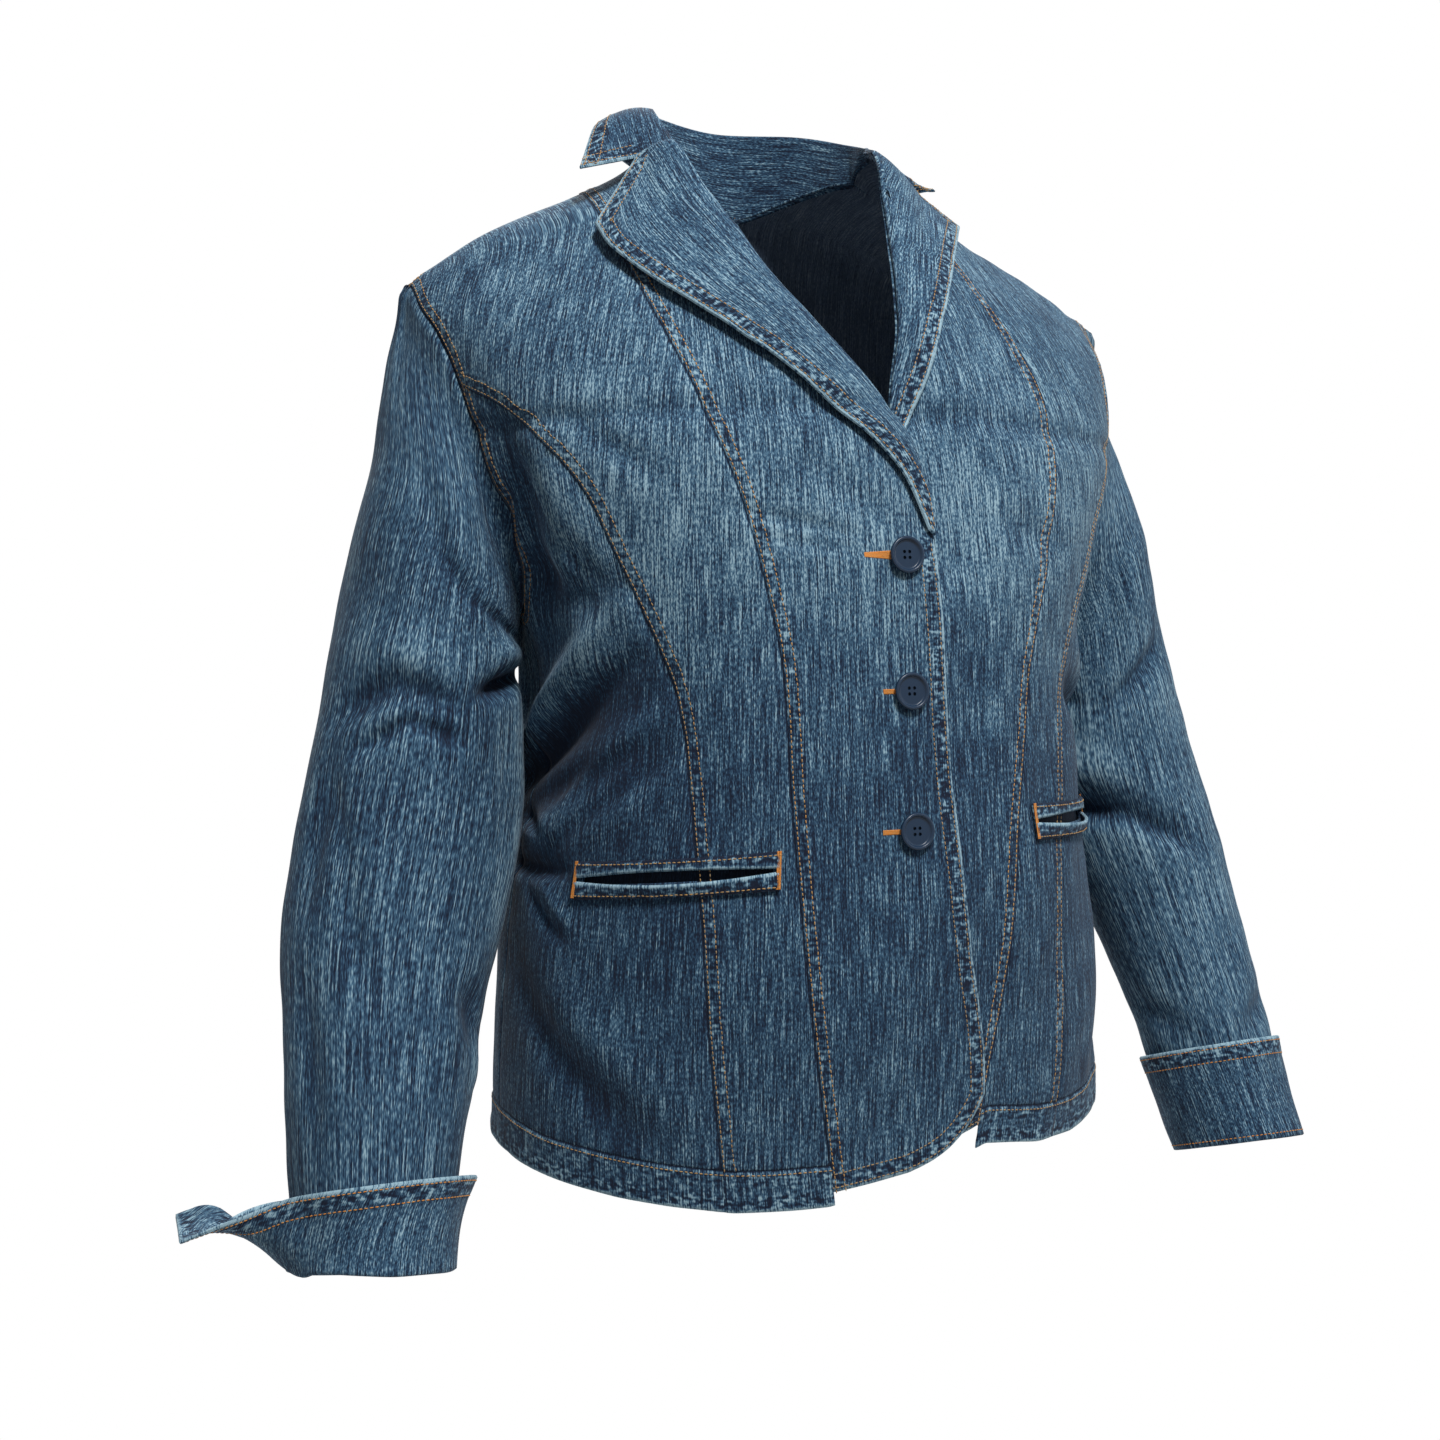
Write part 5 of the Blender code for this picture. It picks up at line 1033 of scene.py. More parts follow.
def denim(name, stops, edge_wear=1.0, contrast=1.0):
    """Washed denim: upright slubs, cloudy fading, pale worn edges and puckers, dark lines in the seams."""
    made, tree, shader = new_material(name, 0.88)
    start = Wire(tree, None)
    cloth = start.node("ShaderNodeUVMap", settings={"uv_map": "cloth"})
    across = start.node("ShaderNodeSeparateXYZ", _0=cloth)
    along = Wire(tree, across.socket.node.outputs[1])

    def noise(width, length, detail=1.0):
        place = start.node("ShaderNodeCombineXYZ", _0=across * (1 / width), _1=along * (1 / length))
        return start.node("ShaderNodeTexNoise", settings={"noise_dimensions": "2D"}, Vector=place, Scale=1.0,
                          Detail=detail, Roughness=0.6) - 0.5

    # width and length of each unevenness, metres
    slub = noise(0.00085, 0.026)
    fine = noise(0.0008, 0.0026)
    broad = noise(0.0035, 0.100, 2.0)
    pucker = noise(0.0060, 0.0030)
    cloud = noise(0.050, 0.070, 3.0)
    strip, seam, edge, fade_and_painted_shading = (attribute(tree, label)
                               for label in ("strip", "seam_gap", "edge_gap", "fade_and_painted_shading"))
    tone = 0.46 + contrast * (slub * 1.4 + fine * 1.3 + broad * 0.45) + cloud * 0.30
    # each piece's tone attribute: fading, with painted light on the chest and crests and painted shade at the
    # waist, in the folds and on the side panels
    tone = tone + fade_and_painted_shading + strip * (pucker * 2.6 - 0.08) * edge_wear
    rim = edge.bell(0.0002, 0.0013) * edge_wear
    line = seam.bell(0.0012, 0.0008) * (0.3 + slub * 1.2) * edge_wear
    groove = seam.bell(0.0, 0.0007)
    colour = (tone + rim * 0.6 + line * 0.3 - groove * 0.5).ramp(*stops)
    weave = slub * 0.6 + fine * 0.8 + strip * pucker * 2.0
    bump = start.node("ShaderNodeBump", Strength=0.5, Distance=0.0004, Height=weave)
    tree.links.new(colour.socket, shader.inputs["Base Color"])
    tree.links.new(bump.socket, shader.inputs["Normal"])
    shader.inputs["Sheen Weight"].default_value = 0.04
    shader.inputs["Specular IOR Level"].default_value = 0.25
    return made


def thread():
    """Sewing thread between tan and orange, by the row it belongs to."""
    made, tree, shader = new_material("sewing thread", 0.7)
    tone = attribute(tree, "tone") * 0.8 + attribute(tree, "shade") * 0.3
    colour = tone.ramp((0.0, (152, 128, 96)), (0.45, (188, 144, 86)), (1.0, (222, 134, 44)))
    tree.links.new(colour.socket, shader.inputs["Base Color"])
    return made


def plain(name, colour, roughness, specular=0.5):
    made, _, shader = new_material(name, roughness)
    shader.inputs["Base Color"].default_value = linear(colour)
    shader.inputs["Specular IOR Level"].default_value = specular
    return made


# ---------------------------------------------------------------- stitches

def stitch_tree():
    """Rows of stitches: a short rounded thread at each step along every line, lying on the cloth."""
    tree = bpy.data.node_groups.new("stitches", "GeometryNodeTree")
    inputs = {"Lines": "Geometry", "Pitch": "Float", "Length": "Float", "Thickness": "Float",
              "Slant": "Float", "Seed": "Int", "Material": "Material"}
    for label, kind in inputs.items():
        tree.interface.new_socket(label, in_out="INPUT", socket_type="NodeSocket" + kind)
    tree.interface.new_socket("Stitches", in_out="OUTPUT", socket_type="NodeSocketGeometry")
    given, result = tree.nodes.new("NodeGroupInput"), tree.nodes.new("NodeGroupOutput")
    start = Wire(tree, None)
    lines, pitch, length, thick, slant, seed, cover = (Wire(tree, s) for s in given.outputs[:7])
    curve = start.node("GeometryNodeMeshToCurve", Mesh=lines)
    points = start.node("GeometryNodeResampleCurve", settings={"mode": "LENGTH"}, Curve=curve, Length=pitch)
    tangent = start.node("GeometryNodeInputTangent")
    out = start.node("GeometryNodeInputNamedAttribute", settings={"data_type": "FLOAT_VECTOR"}, Name="out")
    turn = start.node("FunctionNodeAxesToRotation", settings={"primary_axis": "Z", "secondary_axis": "X"},
                      Primary_Axis=out, Secondary_Axis=tangent)
    index = start.node("GeometryNodeInputIndex")
    wobble = start.node("FunctionNodeRandomValue", 1, _2=-0.10, _3=0.10, ID=index, Seed=seed)
    spin = start.node("FunctionNodeAxisAngleToRotation", Axis=(0.0, 0.0, 1.0), Angle=slant + wobble)
    turn = start.node("FunctionNodeRotateRotation", settings={"rotation_space": "LOCAL"}, Rotation=turn,
                      Rotate_By=spin)
    bead = start.node("GeometryNodeMeshUVSphere", Segments=6, Rings=3, Radius=0.5)
    size = start.node("ShaderNodeCombineXYZ", _0=length, _1=thick, _2=thick * 0.8)
    placed = start.node("GeometryNodeInstanceOnPoints", Points=points, Instance=bead, Rotation=turn,
                        Scale=size)
    shade = start.node("FunctionNodeRandomValue", 1, _2=-0.5, _3=0.5, Seed=seed + 1.0)
    kept = start.node("GeometryNodeStoreNamedAttribute", Geometry=placed, Name="shade", Value=shade,
                      settings={"data_type": "FLOAT", "domain": "INSTANCE"})
    real = start.node("GeometryNodeRealizeInstances", Geometry=kept)
    smooth_faces = start.node("GeometryNodeSetShadeSmooth", Geometry=real)
    done = start.node("GeometryNodeSetMaterial", Geometry=smooth_faces, Material=cover)
    tree.links.new(done.socket, result.inputs[0])
    return tree


def sew(name, lines, tree, pitch, length, thick, seed, slant=0.0):
    """One piece of stitches along lines, each with its points, their outward ways and its tone."""
    mesh = bpy.data.meshes.new(name)
    points, outs = (np.concatenate([line[k] for line in lines]) for k in (0, 1))
    tones = np.concatenate([np.full(len(p), tone) for p, _, tone in lines])
    edges, first = [], 0
    for p, _, _ in lines:
        edges += [(first + k, first + k + 1) for k in range(len(p) - 1)]
        first += len(p)
    mesh.from_pydata([tuple(p) for p in points], edges, [])
    outward = mesh.attributes.new("out", "FLOAT_VECTOR", "POINT")
    outward.data.foreach_set("vector", outs.astype(np.float32).ravel())
    mesh.attributes.new("tone", "FLOAT", "POINT").data.foreach_set("value", tones.astype(np.float32))
    piece = add_object(name, mesh)
    modifier = piece.modifiers.new("stitches", "NODES")
    modifier.node_group = tree
    values = {"Pitch": pitch, "Length": length, "Thickness": thick, "Slant": slant, "Seed": seed,
              "Material": thread_cover}
    for item in tree.interface.items_tree:
        if item.name in values:
            modifier[item.identifier] = values[item.name]
    bake(piece)
    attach(piece, "root")


# ---------------------------------------------------------------- the blazer

# Fading of the body's cloth by height, partly wash and partly painted light on the chest and painted shade at
# the waist: height, how much paler
HEIGHT_FADE_AND_PAINTED_SHADING = np.array([(-0.60, -0.04), (-0.50, -0.06), (-0.40, -0.12), (-0.34, -0.13), (-0.27, 0.02), (-0.20, 0.18),
                 (-0.13, 0.10), (-0.06, 0.03)])
FOLD_PAINTED_SHADING, FOLD_FULL = 0.42, 0.010       # painted shade in a fold and painted light on a crest, as a change of tone, and the depth at which it is full
SLEEVE_RADIUS = 0.056    # of its cloth map
COLLAR_TUCK = 0.0045     # the collar's stand reaches this far below the neckline
# painted light on the left sleeve, which faces the light, and slight painted shade on the right one
SLEEVE_PAINTED_SHADING = {"R": -0.01, "L": 0.07}
FLANK_PAINTED_SHADE = -0.06      # painted shade: the side panels are darker
EDGE_ROW_END = 0.004     # the front edge's rows stop this far below the break
LYING_FROM, LYING_SPAN = 0.55, 0.40      # upward share of the normal where the threads turn over
COLLAR_END = 0.35        # the collar's end rows are drawn in by this share of a row


def upright_map(angle, up):
    """Cloth map of a panel of the body, reckoned on the form without its folds.

    Its threads are upright, and on the shoulders they run on between front and back.
    """
    form = torso_form(angle, up)
    normals = grid_normals(form)
    lying = ease(np.abs(normals[..., 2:]), LYING_FROM, LYING_SPAN)
    over = np.array([0.0, -np.sign(form[..., 1].mean()), 0.0])
    return grain_map(form, normals, lying * over + (1 - lying) * UPRIGHT)


def body_tone_with_painted_shading(angle, up):
    """The cloth is paler on the chest than at the waist, by fading and painted light from above; painted
    light makes the crests paler and painted shade makes the folds darker.
    """
    folds = fold_sum(angle, up, TORSO_FOLDS, TORSO_RADIUS)
    height = torso_form(angle, up)[..., 2]
    return np.interp(height, HEIGHT_FADE_AND_PAINTED_SHADING[:, 0], HEIGHT_FADE_AND_PAINTED_SHADING[:, 1]) + FOLD_PAINTED_SHADING * np.clip(folds / FOLD_FULL, -1.0, 0.5)


def mouth_cells(own, nominal, side):
    """Cells of a panel cut away for the pocket's mouth."""
    inner, outer = MOUTH[side][:2]
    between = (own > inner + MOUTH_TRIM) & (own < outer - MOUTH_TRIM)
    inside = (np.abs(nominal - MOUTH_LEVEL) < MOUTH_HALF) & between
    return inside[1:, 1:] & inside[:-1, :-1] & inside[1:, :-1] & inside[:-1, 1:]


def build_body(side):
    """Fronts, back and hem bands of one side; returns the lines for the stitches."""
    mirror = SIDES[side]
    outward = {"front": FRONT, "flank": np.array([mirror, -0.5, 0.0]), "side": np.array([mirror, 0.0, 0.0]),
               "back": -FRONT}
    places = {"front_centre": front_centre_grid(side), "front_middle": front_middle_grid(side),
              "front_side": front_side_grid(side), "back": back_grid(side)}
    centre, middle, flank, rear = (torso(*place[:2], 0.0, None if part == "back" else side)
                                   for part, place in places.items())
    bands = {part: torso(*band_grid(side, part), 0.0, None if part == "back" else side)
             for part in ("middle", "side", "back")}
    join = int(np.argmin(np.abs(places["front_middle"][3][:, 0] - armhole_up(join_around(side)))))
    bottom = int(np.argmin(np.linalg.norm(rear[:, 0] - flank[-1, -1], axis=1)))
    break_row = int(np.argmin(np.abs(levels(CENTRE_HEM[side][0], RIDGE_UP) - (BREAK_UP - EDGE_ROW_END))))
    band_top, band_bottom = (np.concatenate([bands["middle"][row], bands["side"][row, 1:],
                                             bands["back"][row, 1:]]) for row in (-1, 0))
    lines = {
        "princess": centre[:, 0], "side front": middle[:join + 1, -1],
        "front edge": np.concatenate([centre[0], centre[1:, -1]])[:len(centre[0]) + break_row],
        "armhole upper": middle[join:, -1], "armhole lower": flank[-1], "armhole back": rear[bottom:, 0],
        "centre back": rear[:, -1]}

    # shade is painted shade added to a panel's tone
    def panel(part, grid, seed, way, shade=0.0, holes=None, **seams):
        place = places[part][:2]
        lay(part, side, grid, CLOTH, seed=seed + mirror, outward=outward[way], cloth_map=upright_map(*place),
            fade_and_painted_shading=body_tone_with_painted_shading(*place) + shade, holes=holes, **seams)

    panel("front_centre", centre, 1.0, "front", lapped=[lines["princess"]], edges=[lines["front edge"]])
    panel("front_middle", middle, 2.0, "front", lapped=[lines["side front"], lines["armhole upper"]],
          unlapped=[lines["princess"], band_top], holes=mouth_cells(*places["front_middle"][2:], side))
    panel("front_side", flank, 3.0, "flank", FLANK_PAINTED_SHADE, lapped=[lines["armhole lower"]],
          unlapped=[lines["side front"], flank[:, -1], band_top],
          holes=mouth_cells(*places["front_side"][2:], side))
    lapped, unlapped = [lines["armhole back"]], [flank[:, -1], band_top]
    (lapped if side == "L" else unlapped).append(lines["centre back"])
    panel("back", rear, 4.0, "back", lapped=lapped, unlapped=unlapped)
    for (part, grid), way in zip(bands.items(), ("front", "side", "back")):
        lay("hem_band_" + part, side, grid, CLOTH, lapped=[band_top], edges=[band_bottom], seed=5.0 + mirror,
            outward=outward[way])
    return lines


def closed(row):
    """Points that go all round, with the first one again at the end."""
    return np.concatenate([row, row[:1]])


def build_sleeve(side):
    arounds, shares = np.meshgrid(ROUND, even(190))
    downs = shares * sleeve_end(arounds, side)
    grid = sleeve(arounds, downs, side)
    creases = [row for row in SLEEVE_FOLDS[side] if not row[0].startswith("cap")]
    folds = fold_sum(arounds, downs, creases, ARM_RADIUS)
    # painted light and shade: each sleeve's own painted tone, with painted shade in its folds and painted
    # light on their crests
    tone = SLEEVE_PAINTED_SHADING[side] + FOLD_PAINTED_SHADING * np.clip(folds / FOLD_FULL, -1.0, 0.4)
    out = sleeve_normal(arounds, downs, side)
    if np.sum(grid_normals(grid, True) * out) < 0:
        grid, tone, out = grid[:, ::-1], tone[:, ::-1], out[:, ::-1]
    runs = np.concatenate([downs, downs[:, :1]], axis=1) * SLEEVE_LENGTH[side]
    turns = np.broadcast_to(np.linspace(0, 2 * math.pi * SLEEVE_RADIUS, runs.shape[1]), runs.shape)
    lay("sleeve", side, grid, CLOTH, unlapped=[closed(grid[0])], around=True, seed=6.0 + SIDES[side],
        cloth_map=np.stack([turns, runs], -1), fade_and_painted_shading=tone, normals=out, nodes=("_top", "_under"))


def build_lapel(side):
    along, across = np.meshgrid(even(120), even(LAPEL_COLUMNS), indexing="ij")
    face = lapel_face(side, along, across)
    notch = int(NOTCH_SHARE * (LAPEL_COLUMNS - 1))
    edge = np.concatenate([face[:, -1], face[-1, notch:-1][::-1]])
    lay("lapel", side, face, TURNED, DOUBLE_WALL, edges=[edge], seed=8.0 + SIDES[side], outward=FRONT,
        fade_and_painted_shading=0.03)
    return edge


def build_collar():
    share, across = even(230), even(52)
    face = collar_grid(share, across)
    notch = int(np.argmin(np.abs(across - (FOLD_SHARE + (1 - FOLD_SHARE) * NOTCH_SHARE))))
    face[:, 0, 2] -= COLLAR_TUCK
    face[0] += (face[1] - face[0]) * COLLAR_END
    face[-1] += (face[-2] - face[-1]) * COLLAR_END
    edge = np.concatenate([face[0, notch:], face[1:-1, -1], face[-1, notch:][::-1]])
    away = (face - face.mean((0, 1))) * (across > 0.8)[None, :, None]
    lay("collar", "", face, CLOTH, DOUBLE_WALL, edges=[edge], seed=9.0, outward=away, fade_and_painted_shading=-0.10)
    return edge


def build_cuffs():
    """Closed left cuff and open right one; returns the lines for the stitches."""
    rises, arounds = np.meshgrid(even(28), ROUND, indexing="ij")
    left = cuff_face("L", arounds, rises)
    out = sleeve_normal(arounds, cuff_down("L", arounds, rises), "L")
    if np.sum(grid_normals(left, True) * out) < 0:
        left = left[:, ::-1]
    top = closed(left[-1])
    lay("cuff", "L", left, TURNED, DOUBLE_WALL, edges=[top], around=True, seed=10.0, fade_and_painted_shading=-0.03)
    right = cuff_right_grid()
    for _ in range(CUFF_SMOOTHING):
        right[:, 1:-1] = (right[:, :-2] + 2 * right[:, 1:-1] + right[:, 2:]) / 4
    round_arm = np.arange(right.shape[1]) < ROUND_ARM
    away = (right - right[:, round_arm].mean((0, 1))) * round_arm[None, :, None]
    edge = np.concatenate([right[-1], right[-2::-1, -1]])
    lay("cuff", "R", right, TURNED, DOUBLE_WALL, edges=[edge], seed=11.0, outward=away)
    return top, closed(left[0]), right[-1]


def build_pocket(side):
    """Two welts and the bag behind them; returns the welts' seams."""
    inner, outer = MOUTH[side][:2]
    own = np.linspace(inner, outer, WELT_COLUMNS)[None, :]
    gape = MOUTH_GAPE * np.sin(np.pi * even(WELT_COLUMNS))[None, :]
    share = even(7)[:, None]
    outward = np.array([SIDES[side], -1.0, 0.0])
    seams = {}
    for k, (part, rows) in enumerate({
            "upper": MOUTH_LEVEL + MOUTH_SLIT + share * WELT_HEIGHT + gape * (1 - share),
            "lower": MOUTH_LEVEL - MOUTH_SLIT - (1 - share) * (WELT_HEIGHT + 0.001) - gape * share}.items()):
        face = torso(*own_to_grid(own + 0 * rows, rows, side), WELT_OUT + k * gape * share, side)
        mouth, seams[part] = (face[0], face[-1]) if part == "upper" else (face[-1], face[0])
        lay("pocket_welt_" + part, side, face, CLOTH, DOUBLE_WALL, edges=[mouth], unlapped=[seams[part]],
            seed=12.0 + k + SIDES[side], outward=outward, fade_and_painted_shading=-0.12)
    own, rows = np.meshgrid(np.linspace(inner + BAG_TRIM, outer - BAG_TRIM, 30),
                            np.linspace(MOUTH_LEVEL - BAG_DEPTH, MOUTH_LEVEL + BAG_ABOVE, 22))
    lay("pocket_bag", side, torso(*own_to_grid(own, rows, side), -(WALL + BAG_STAND[side]), side), DARK,
        slot="denim_dark", outward=outward)
    return seams


WASHED = (0.0, (8, 20, 40)), (0.35, (32, 58, 84)), (0.65, (72, 108, 134)), (1.0, (154, 184, 198))
REVERSE = (0.0, (44, 58, 78)), (0.5, (84, 100, 120)), (1.0, (140, 152, 164))
UNWASHED = (0.0, (8, 14, 26)), (0.5, (20, 32, 50)), (1.0, (44, 60, 82))
cloth_cover = denim("washed denim", WASHED)
reverse_cover = denim("denim reverse", REVERSE, edge_wear=0.3, contrast=0.6)
dark_cover = denim("unwashed denim", UNWASHED, edge_wear=0.2, contrast=0.8)
thread_cover = thread()
button_cover = plain("navy button plastic", (18, 42, 66), 0.3, specular=0.3)

# Materials of a piece of cloth, outer side and inner side
CLOTH, TURNED, DARK = (cloth_cover, reverse_cover), (cloth_cover, cloth_cover), (dark_cover, dark_cover)

seams = {side: build_body(side) for side in SIDES}
for side in SIDES:
    build_sleeve(side)
lapel_edges = {side: build_lapel(side) for side in SIDES}
collar_edge = build_collar()
cuff_top, cuff_fold, cuff_top_right = build_cuffs()
pocket_seams = {side: build_pocket(side) for side in SIDES}

# Topstitching: distances of its rows from a seam or edge
PAIR, FRONT_PAIR, SIDE_PAIR = (0.0020, 0.0082), (0.0024, 0.0105), (0.0018, 0.0085)
COLLAR_PAIR, CUFF_PAIR = (0.0020, 0.0095), (0.0020, 0.0110)
HEM_ROW, WELT_ROW, FOLD_ROW = (0.0025,), (0.0015,), (0.0030,)
THREAD_OUT = 0.0001      # off the cloth
ROW_THREAD = {"pitch": 0.0029, "length": 0.0026, "thick": 0.0008}
TACK_THREAD = {"pitch": 0.0006, "length": 0.0019, "thick": 0.0008, "slant": math.pi / 2}

rows = {"fronts": [], "back": [], "collar": [], "cuffs": [], "pockets": []}


def add_rows(group, line, name, gaps, tone):
    """Rows beside a line, with the tone of their thread from tan at 0 to orange at 1."""
    for gap in gaps:
        spots, outs = beside(line, name, gap)
        rows[group].append((spots + outs * THREAD_OUT, outs, tone))


for side in SIDES:
    for line, part, gaps, tone in (
            ("princess", "front_centre_", PAIR, 0.5), ("front edge", "front_centre_", FRONT_PAIR, 0.1),
            ("side front", "front_middle_", SIDE_PAIR, 0.2), ("armhole upper", "front_middle_", PAIR, 0.4),
            ("armhole lower", "front_side_", PAIR, 0.4), ("armhole back", "back_", PAIR, 0.4)):
        add_rows("back" if part == "back_" else "fronts", seams[side][line], part + side, gaps, tone)
    for part in ("middle", "side", "back"):
        name = "hem_band_%s_%s" % (part, side)
        add_rows("back" if part == "back" else "fronts", FACES[name][-1], name, HEM_ROW, 0.3)
    add_rows("collar", lapel_edges[side], "lapel_" + side, COLLAR_PAIR, 0.3)
    for part, seam in pocket_seams[side].items():
        add_rows("pockets", seam, "pocket_welt_%s_%s" % (part, side), WELT_ROW, 0.4)
add_rows("back", seams["L"]["centre back"], "back_L", PAIR, 0.4)
add_rows("collar", collar_edge, "collar", COLLAR_PAIR, 0.3)
add_rows("cuffs", cuff_top, "cuff_L", CUFF_PAIR, 0.9)
add_rows("cuffs", cuff_fold, "cuff_L", FOLD_ROW, 0.9)
add_rows("cuffs", cuff_top_right, "cuff_R", CUFF_PAIR, 0.9)

# Buttonholes and bar tacks: close stitches across short lines
BUTTONHOLE_FROM, BUTTONHOLE_ENDS = -1.2, (-6.8, -4.6, -5.4)    # degrees
BUTTONHOLE_HALF = 0.0008
BUTTONHOLE_FANS = (2.6, 1.0, 1.0)        # the top one is drawn open by its button
BUTTONHOLE_LINES = (5, 3, 3)
TAB_HOLE_ROWS, TAB_HOLE = (11, 12), slice(-12, -3)    # rows and columns of the right cuff's grid
TAB_HOLE_OUT = 0.0003
TACK_HALF, TACK_LINE, TACK_OUT = 0.0105, 0.0012, 0.0002
TACK_POINTS = 8

tacks = []
tab_face, tab_normals = (grid[:, TAB_HOLE] for grid in (FACES["cuff_R"], grid_normals(FACES["cuff_R"])))
for row in TAB_HOLE_ROWS:
    for out, way in ((TAB_HOLE_OUT, 1.0), (-DOUBLE_WALL - TAB_HOLE_OUT, -1.0)):
        tacks.append((tab_face[row] + tab_normals[row] * out, tab_normals[row] * way, 1.0))

for up, reach, fan, count in zip(BUTTON_LEVELS, BUTTONHOLE_ENDS, BUTTONHOLE_FANS, BUTTONHOLE_LINES):
    for lift in np.linspace(-BUTTONHOLE_HALF, BUTTONHOLE_HALF, count):
        ends = torso(np.array([BUTTONHOLE_FROM, reach]), up + lift * np.array([fan, 1.0]), 0.0, "R")
        tacks.append((*beside(np.linspace(*ends, TACK_POINTS), "front_centre_R", 0.0), 1.0))

for side in SIDES:
    for end, way in zip(MOUTH[side][:2], (1.0, -1.0)):
        for shift in (0.0, way * TACK_LINE / DEGREE_WIDTH):
            line = MOUTH_LEVEL + np.linspace(-TACK_HALF, TACK_HALF, TACK_POINTS)
            angle, up = own_to_grid(end + shift + 0 * line, line, side)
            tacks.append((torso(angle, up, WELT_OUT + TACK_OUT, side), torso_normal(angle, up), 1.0))

tree = stitch_tree()
for k, (group, lines) in enumerate(rows.items()):
    sew("stitches_" + group, lines, tree, seed=k + 1, **ROW_THREAD)
sew("buttonholes_and_tacks", tacks, tree, seed=9, **TACK_THREAD)

# Turned outline of a button: radius and height, from the back's rim over the front to the dish
BUTTON_PROFILE = [(0.0082, 0.0), (0.0100, 0.0006), (0.01085, 0.0014), (0.0110, 0.0021), (0.01085, 0.0029),
                  (0.0103, 0.0034), (0.0097, 0.0035), (0.0091, 0.0032), (0.0087, 0.0025), (0.0083, 0.0020),
                  (0.0078, 0.0018), (0.0072, 0.0018), (0.0020, 0.0018)]
DISH_RADIUS, DISH_HEIGHT = 0.0074, BUTTON_PROFILE[-1][1]
HOLE_FLOOR, HOLE_TOP = 0.0002, 0.0060


def tube(rings, first=0):
    """Quads between rings of as many points each, whose points are numbered in a row from first."""
    count = rings.shape[1]
    start = first + np.arange(len(rings) - 1)[:, None] * count
    k = np.arange(count)
    ahead = (k + 1) % count
    quads = np.stack([start + k, start + ahead, start + count + ahead, start + count + k], -1)
    return quads.reshape(-1, 4).tolist()


def turned_button(name, node, centre, normal, radius):
    """Dished button with a rolled rim and four sunk holes."""
    z = unit(np.asarray(normal, float))
    x = unit(np.cross(UPRIGHT, z))
    y = np.cross(z, x)
    size = radius / BUTTON_RADIUS

    def circle(sides):
        turn = np.linspace(0, 2 * math.pi, sides, endpoint=False)[:, None]
        return x * np.cos(turn) + y * np.sin(turn)

    rings = np.array([centre + z * high * size + r * size * circle(BUTTON_SIDES)
                      for r, high in BUTTON_PROFILE])
    back = len(rings) * BUTTON_SIDES    # number of the middle point at the back; the dish's follows it
    last = back - BUTTON_SIDES
    faces = tube(rings)
    faces += [((k + 1) % BUTTON_SIDES, k, back) for k in range(BUTTON_SIDES)]
    faces += [(last + k, last + (k + 1) % BUTTON_SIDES, back + 1) for k in range(BUTTON_SIDES)]
    mesh = bpy.data.meshes.new(name)
    middles = [centre, centre + z * DISH_HEIGHT * size]
    mesh.from_pydata(np.concatenate([rings.reshape(-1, 3), middles]).tolist(), [], faces)
    mesh.update()
    mesh.shade_smooth()
    made = add_object(name, mesh)
    hole_verts, hole_faces = [], []
    for turn in np.array([0.25, 0.75, 1.25, 1.75]) * math.pi:
        spot = centre + (x * math.cos(turn) + y * math.sin(turn)) * radius * HOLE_SPREAD
        ends = np.array([spot + z * high * size + radius * HOLE_RADIUS * circle(HOLE_SIDES)
                         for high in (HOLE_FLOOR, HOLE_TOP)])
        first = len(hole_verts)
        hole_verts += ends.reshape(-1, 3).tolist()
        hole_faces += [list(range(first, first + HOLE_SIDES))[::-1],
                       list(range(first + HOLE_SIDES, first + 2 * HOLE_SIDES))] + tube(ends, first)
    hole_mesh = bpy.data.meshes.new("holes")
    hole_mesh.from_pydata(hole_verts, [], hole_faces)
    cutter = add_object("holes", hole_mesh)
    modifier = made.modifiers.new("holes", "BOOLEAN")
    modifier.operation, modifier.object = "DIFFERENCE", cutter
    cut = bake(made)
    bpy.data.objects.remove(cutter)
    facing = np.array([abs(polygon.normal.dot(Vector(z))) for polygon in cut.polygons])
    offset = [polygon.center - Vector(centre) for polygon in cut.polygons]
    depth = np.array([v.dot(Vector(z)) for v in offset]) / size
    wide = np.array([v.length for v in offset]) / size
    flat_faces = (wide < DISH_RADIUS) & ((facing > 0.9) | (depth < DISH_HEIGHT - 0.0002) | (facing < 0.3))
    if "sharp_face" not in cut.attributes:
        cut.attributes.new("sharp_face", "BOOLEAN", "FACE")
    cut.attributes["sharp_face"].data.foreach_set("value", flat_faces)
    cut.materials.clear()
    cut.materials.append(button_cover)
    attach(made, "root")
    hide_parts(node)


for k, up in enumerate(BUTTON_LEVELS):
    spot = torso(BUTTON_ANGLE, up, 2 * SEAM_GAP + 0.0004, "R")
    node = "button_front_%d" % (k + 1)
    turned_button("plastic_" + node, node, spot, torso_normal(BUTTON_ANGLE, up), BUTTON_RADIUS)
for side, around in CUFF_BUTTON_AT.items():
    spot = cuff_face(side, np.array([around]), np.array([0.5]))[0]
    normal = sleeve_normal(np.array([around]), cuff_down(side, np.array([around]), 0.5), side)[0]
    node = "button_cuff_" + side
    turned_button("plastic_" + node, node, spot + normal * 2 * SEAM_GAP, normal, CUFF_BUTTON_RADIUS)

# ---------------------------------------------------------------- floor, light and camera

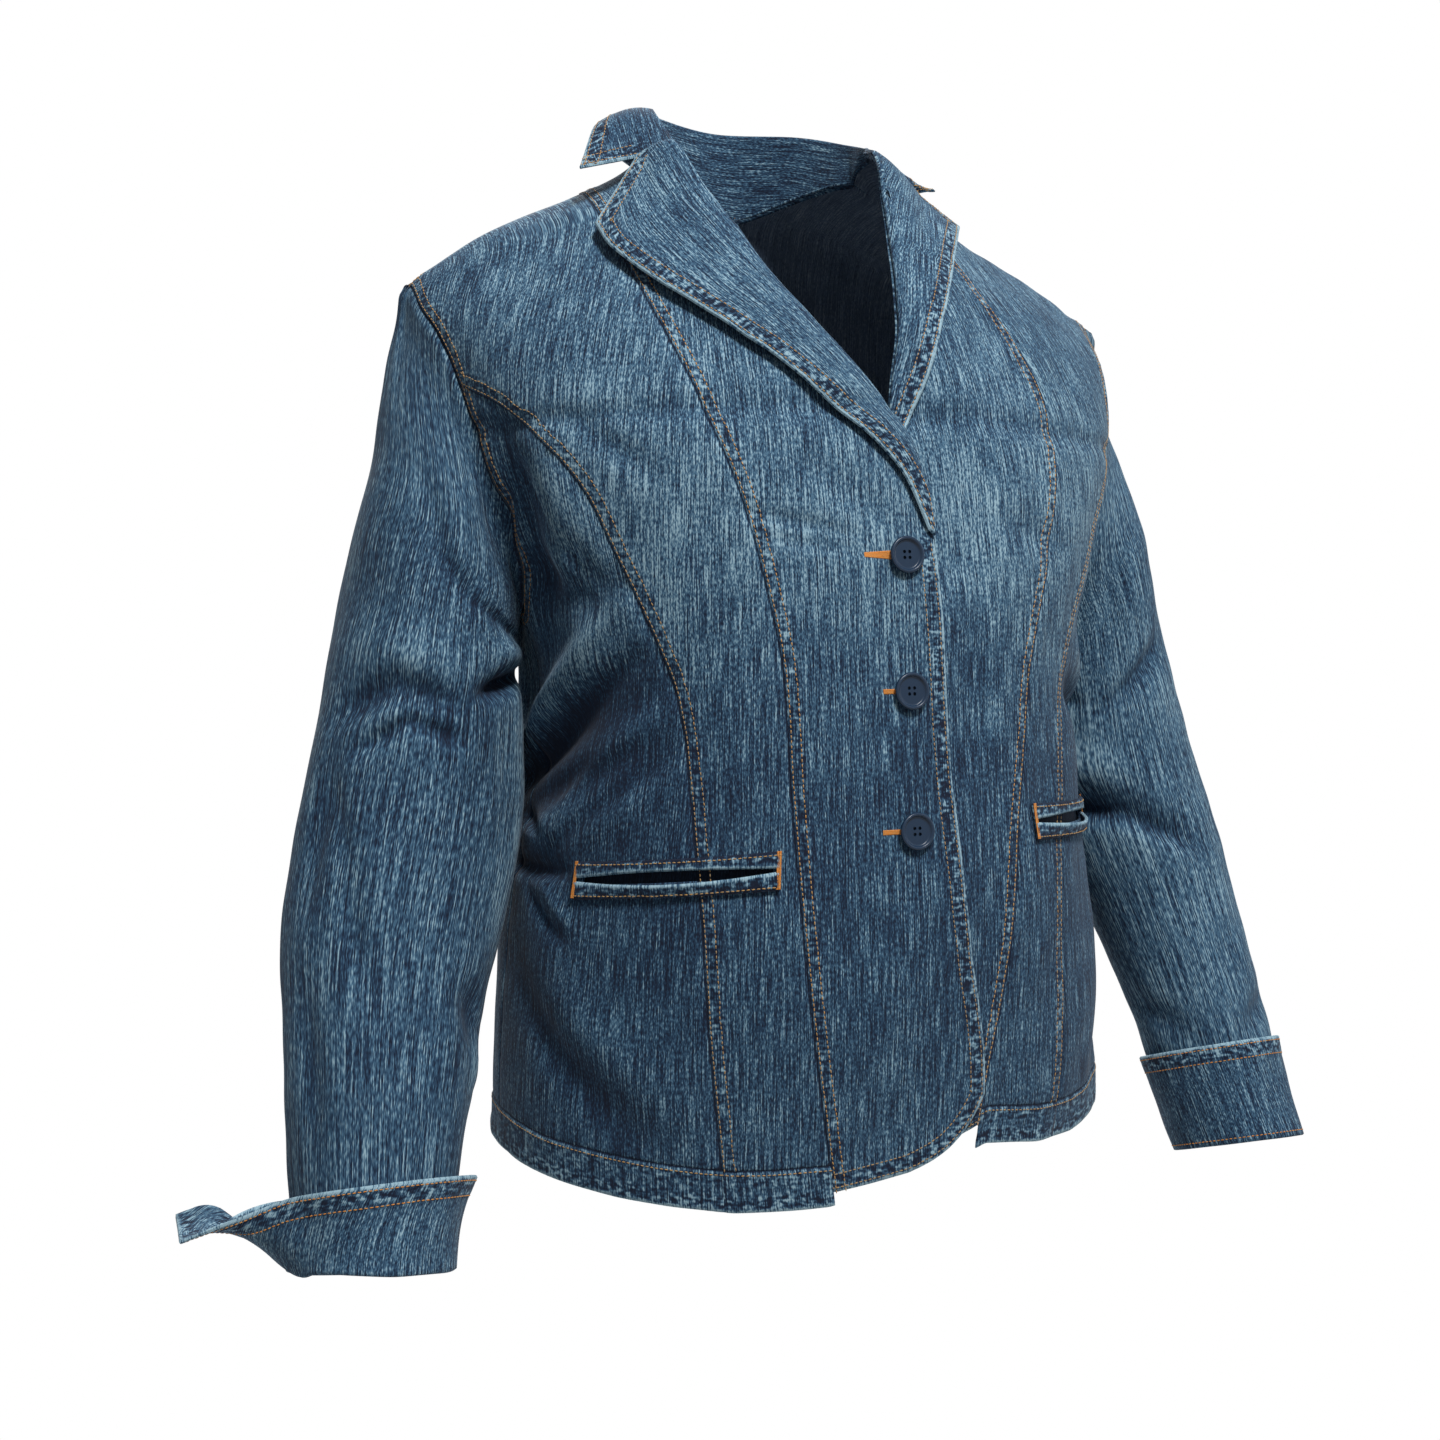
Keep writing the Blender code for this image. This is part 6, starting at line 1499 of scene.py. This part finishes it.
FLOOR_Z, FLOOR_RADIUS, FLOOR_SIDES = -1.35, 0.92, 96
BACKGROUND_LIGHT = 0.13
LENS, SENSOR = 43.575, 36.0
CAMERA_PLACE, CAMERA_TILT, CAMERA_TURN = (-0.486, -1.042, -0.24), 90 - 3.94, -22.44

floor_mesh = bpy.data.meshes.new("floor")
turn = np.linspace(0, 2 * math.pi, FLOOR_SIDES, endpoint=False)
floor_mesh.from_pydata([(FLOOR_RADIUS * math.cos(a), FLOOR_RADIUS * math.sin(a), FLOOR_Z) for a in turn], [],
                       [list(range(FLOOR_SIDES))])
floor_mesh.materials.append(plain("pale floor", (236, 236, 236), 0.9))
floor = add_object("floor", floor_mesh)


def lamp(name, spot, aim, size, power):
    light = bpy.data.lights.new(name, "AREA")
    light.shape, light.size, light.energy = "DISK", size, power
    made = add_object(name, light)
    made.location = spot
    made.rotation_euler = (Vector(aim) - Vector(spot)).to_track_quat("-Z", "Y").to_euler()


lamp("key", (0.0, -1.9, 2.3), (0.0, 0.0, -0.25), 0.8, 105.0)
lamp("fill", (2.2, -1.4, 0.6), (0.0, 0.0, -0.3), 1.4, 8.0)
lamp("back", (0.3, 2.4, 1.7), (0.0, 0.1, -0.3), 1.6, 60.0)

world = bpy.data.worlds.new("studio")
bpy.context.scene.world = world
world.use_nodes = True
air = world.node_tree
air.nodes.clear()
start = Wire(air, None)
rays = [start.node("ShaderNodeLightPath", name)
        for name in ("Is Camera Ray", "Is Glossy Ray", "Is Transmission Ray")]
seen = rays[0].math("MAXIMUM", rays[1]).math("MAXIMUM", rays[2])
grey, white = (start.node("ShaderNodeBackground", Color=(1.0, 1.0, 1.0, 1.0), Strength=strength)
               for strength in (BACKGROUND_LIGHT, 1.0))
mixed = start.node("ShaderNodeMixShader", _0=seen, _1=grey, _2=white)
output = air.nodes.new("ShaderNodeOutputWorld")
air.links.new(mixed.socket, output.inputs["Surface"])

camera_data = bpy.data.cameras.new("camera")
camera_data.lens, camera_data.sensor_width = LENS, SENSOR
camera = add_object("camera", camera_data)
camera.location = CAMERA_PLACE
camera.rotation_euler = (math.radians(CAMERA_TILT), 0.0, math.radians(CAMERA_TURN))
bpy.context.scene.camera = camera
bpy.context.scene.view_settings.view_transform = "Standard"
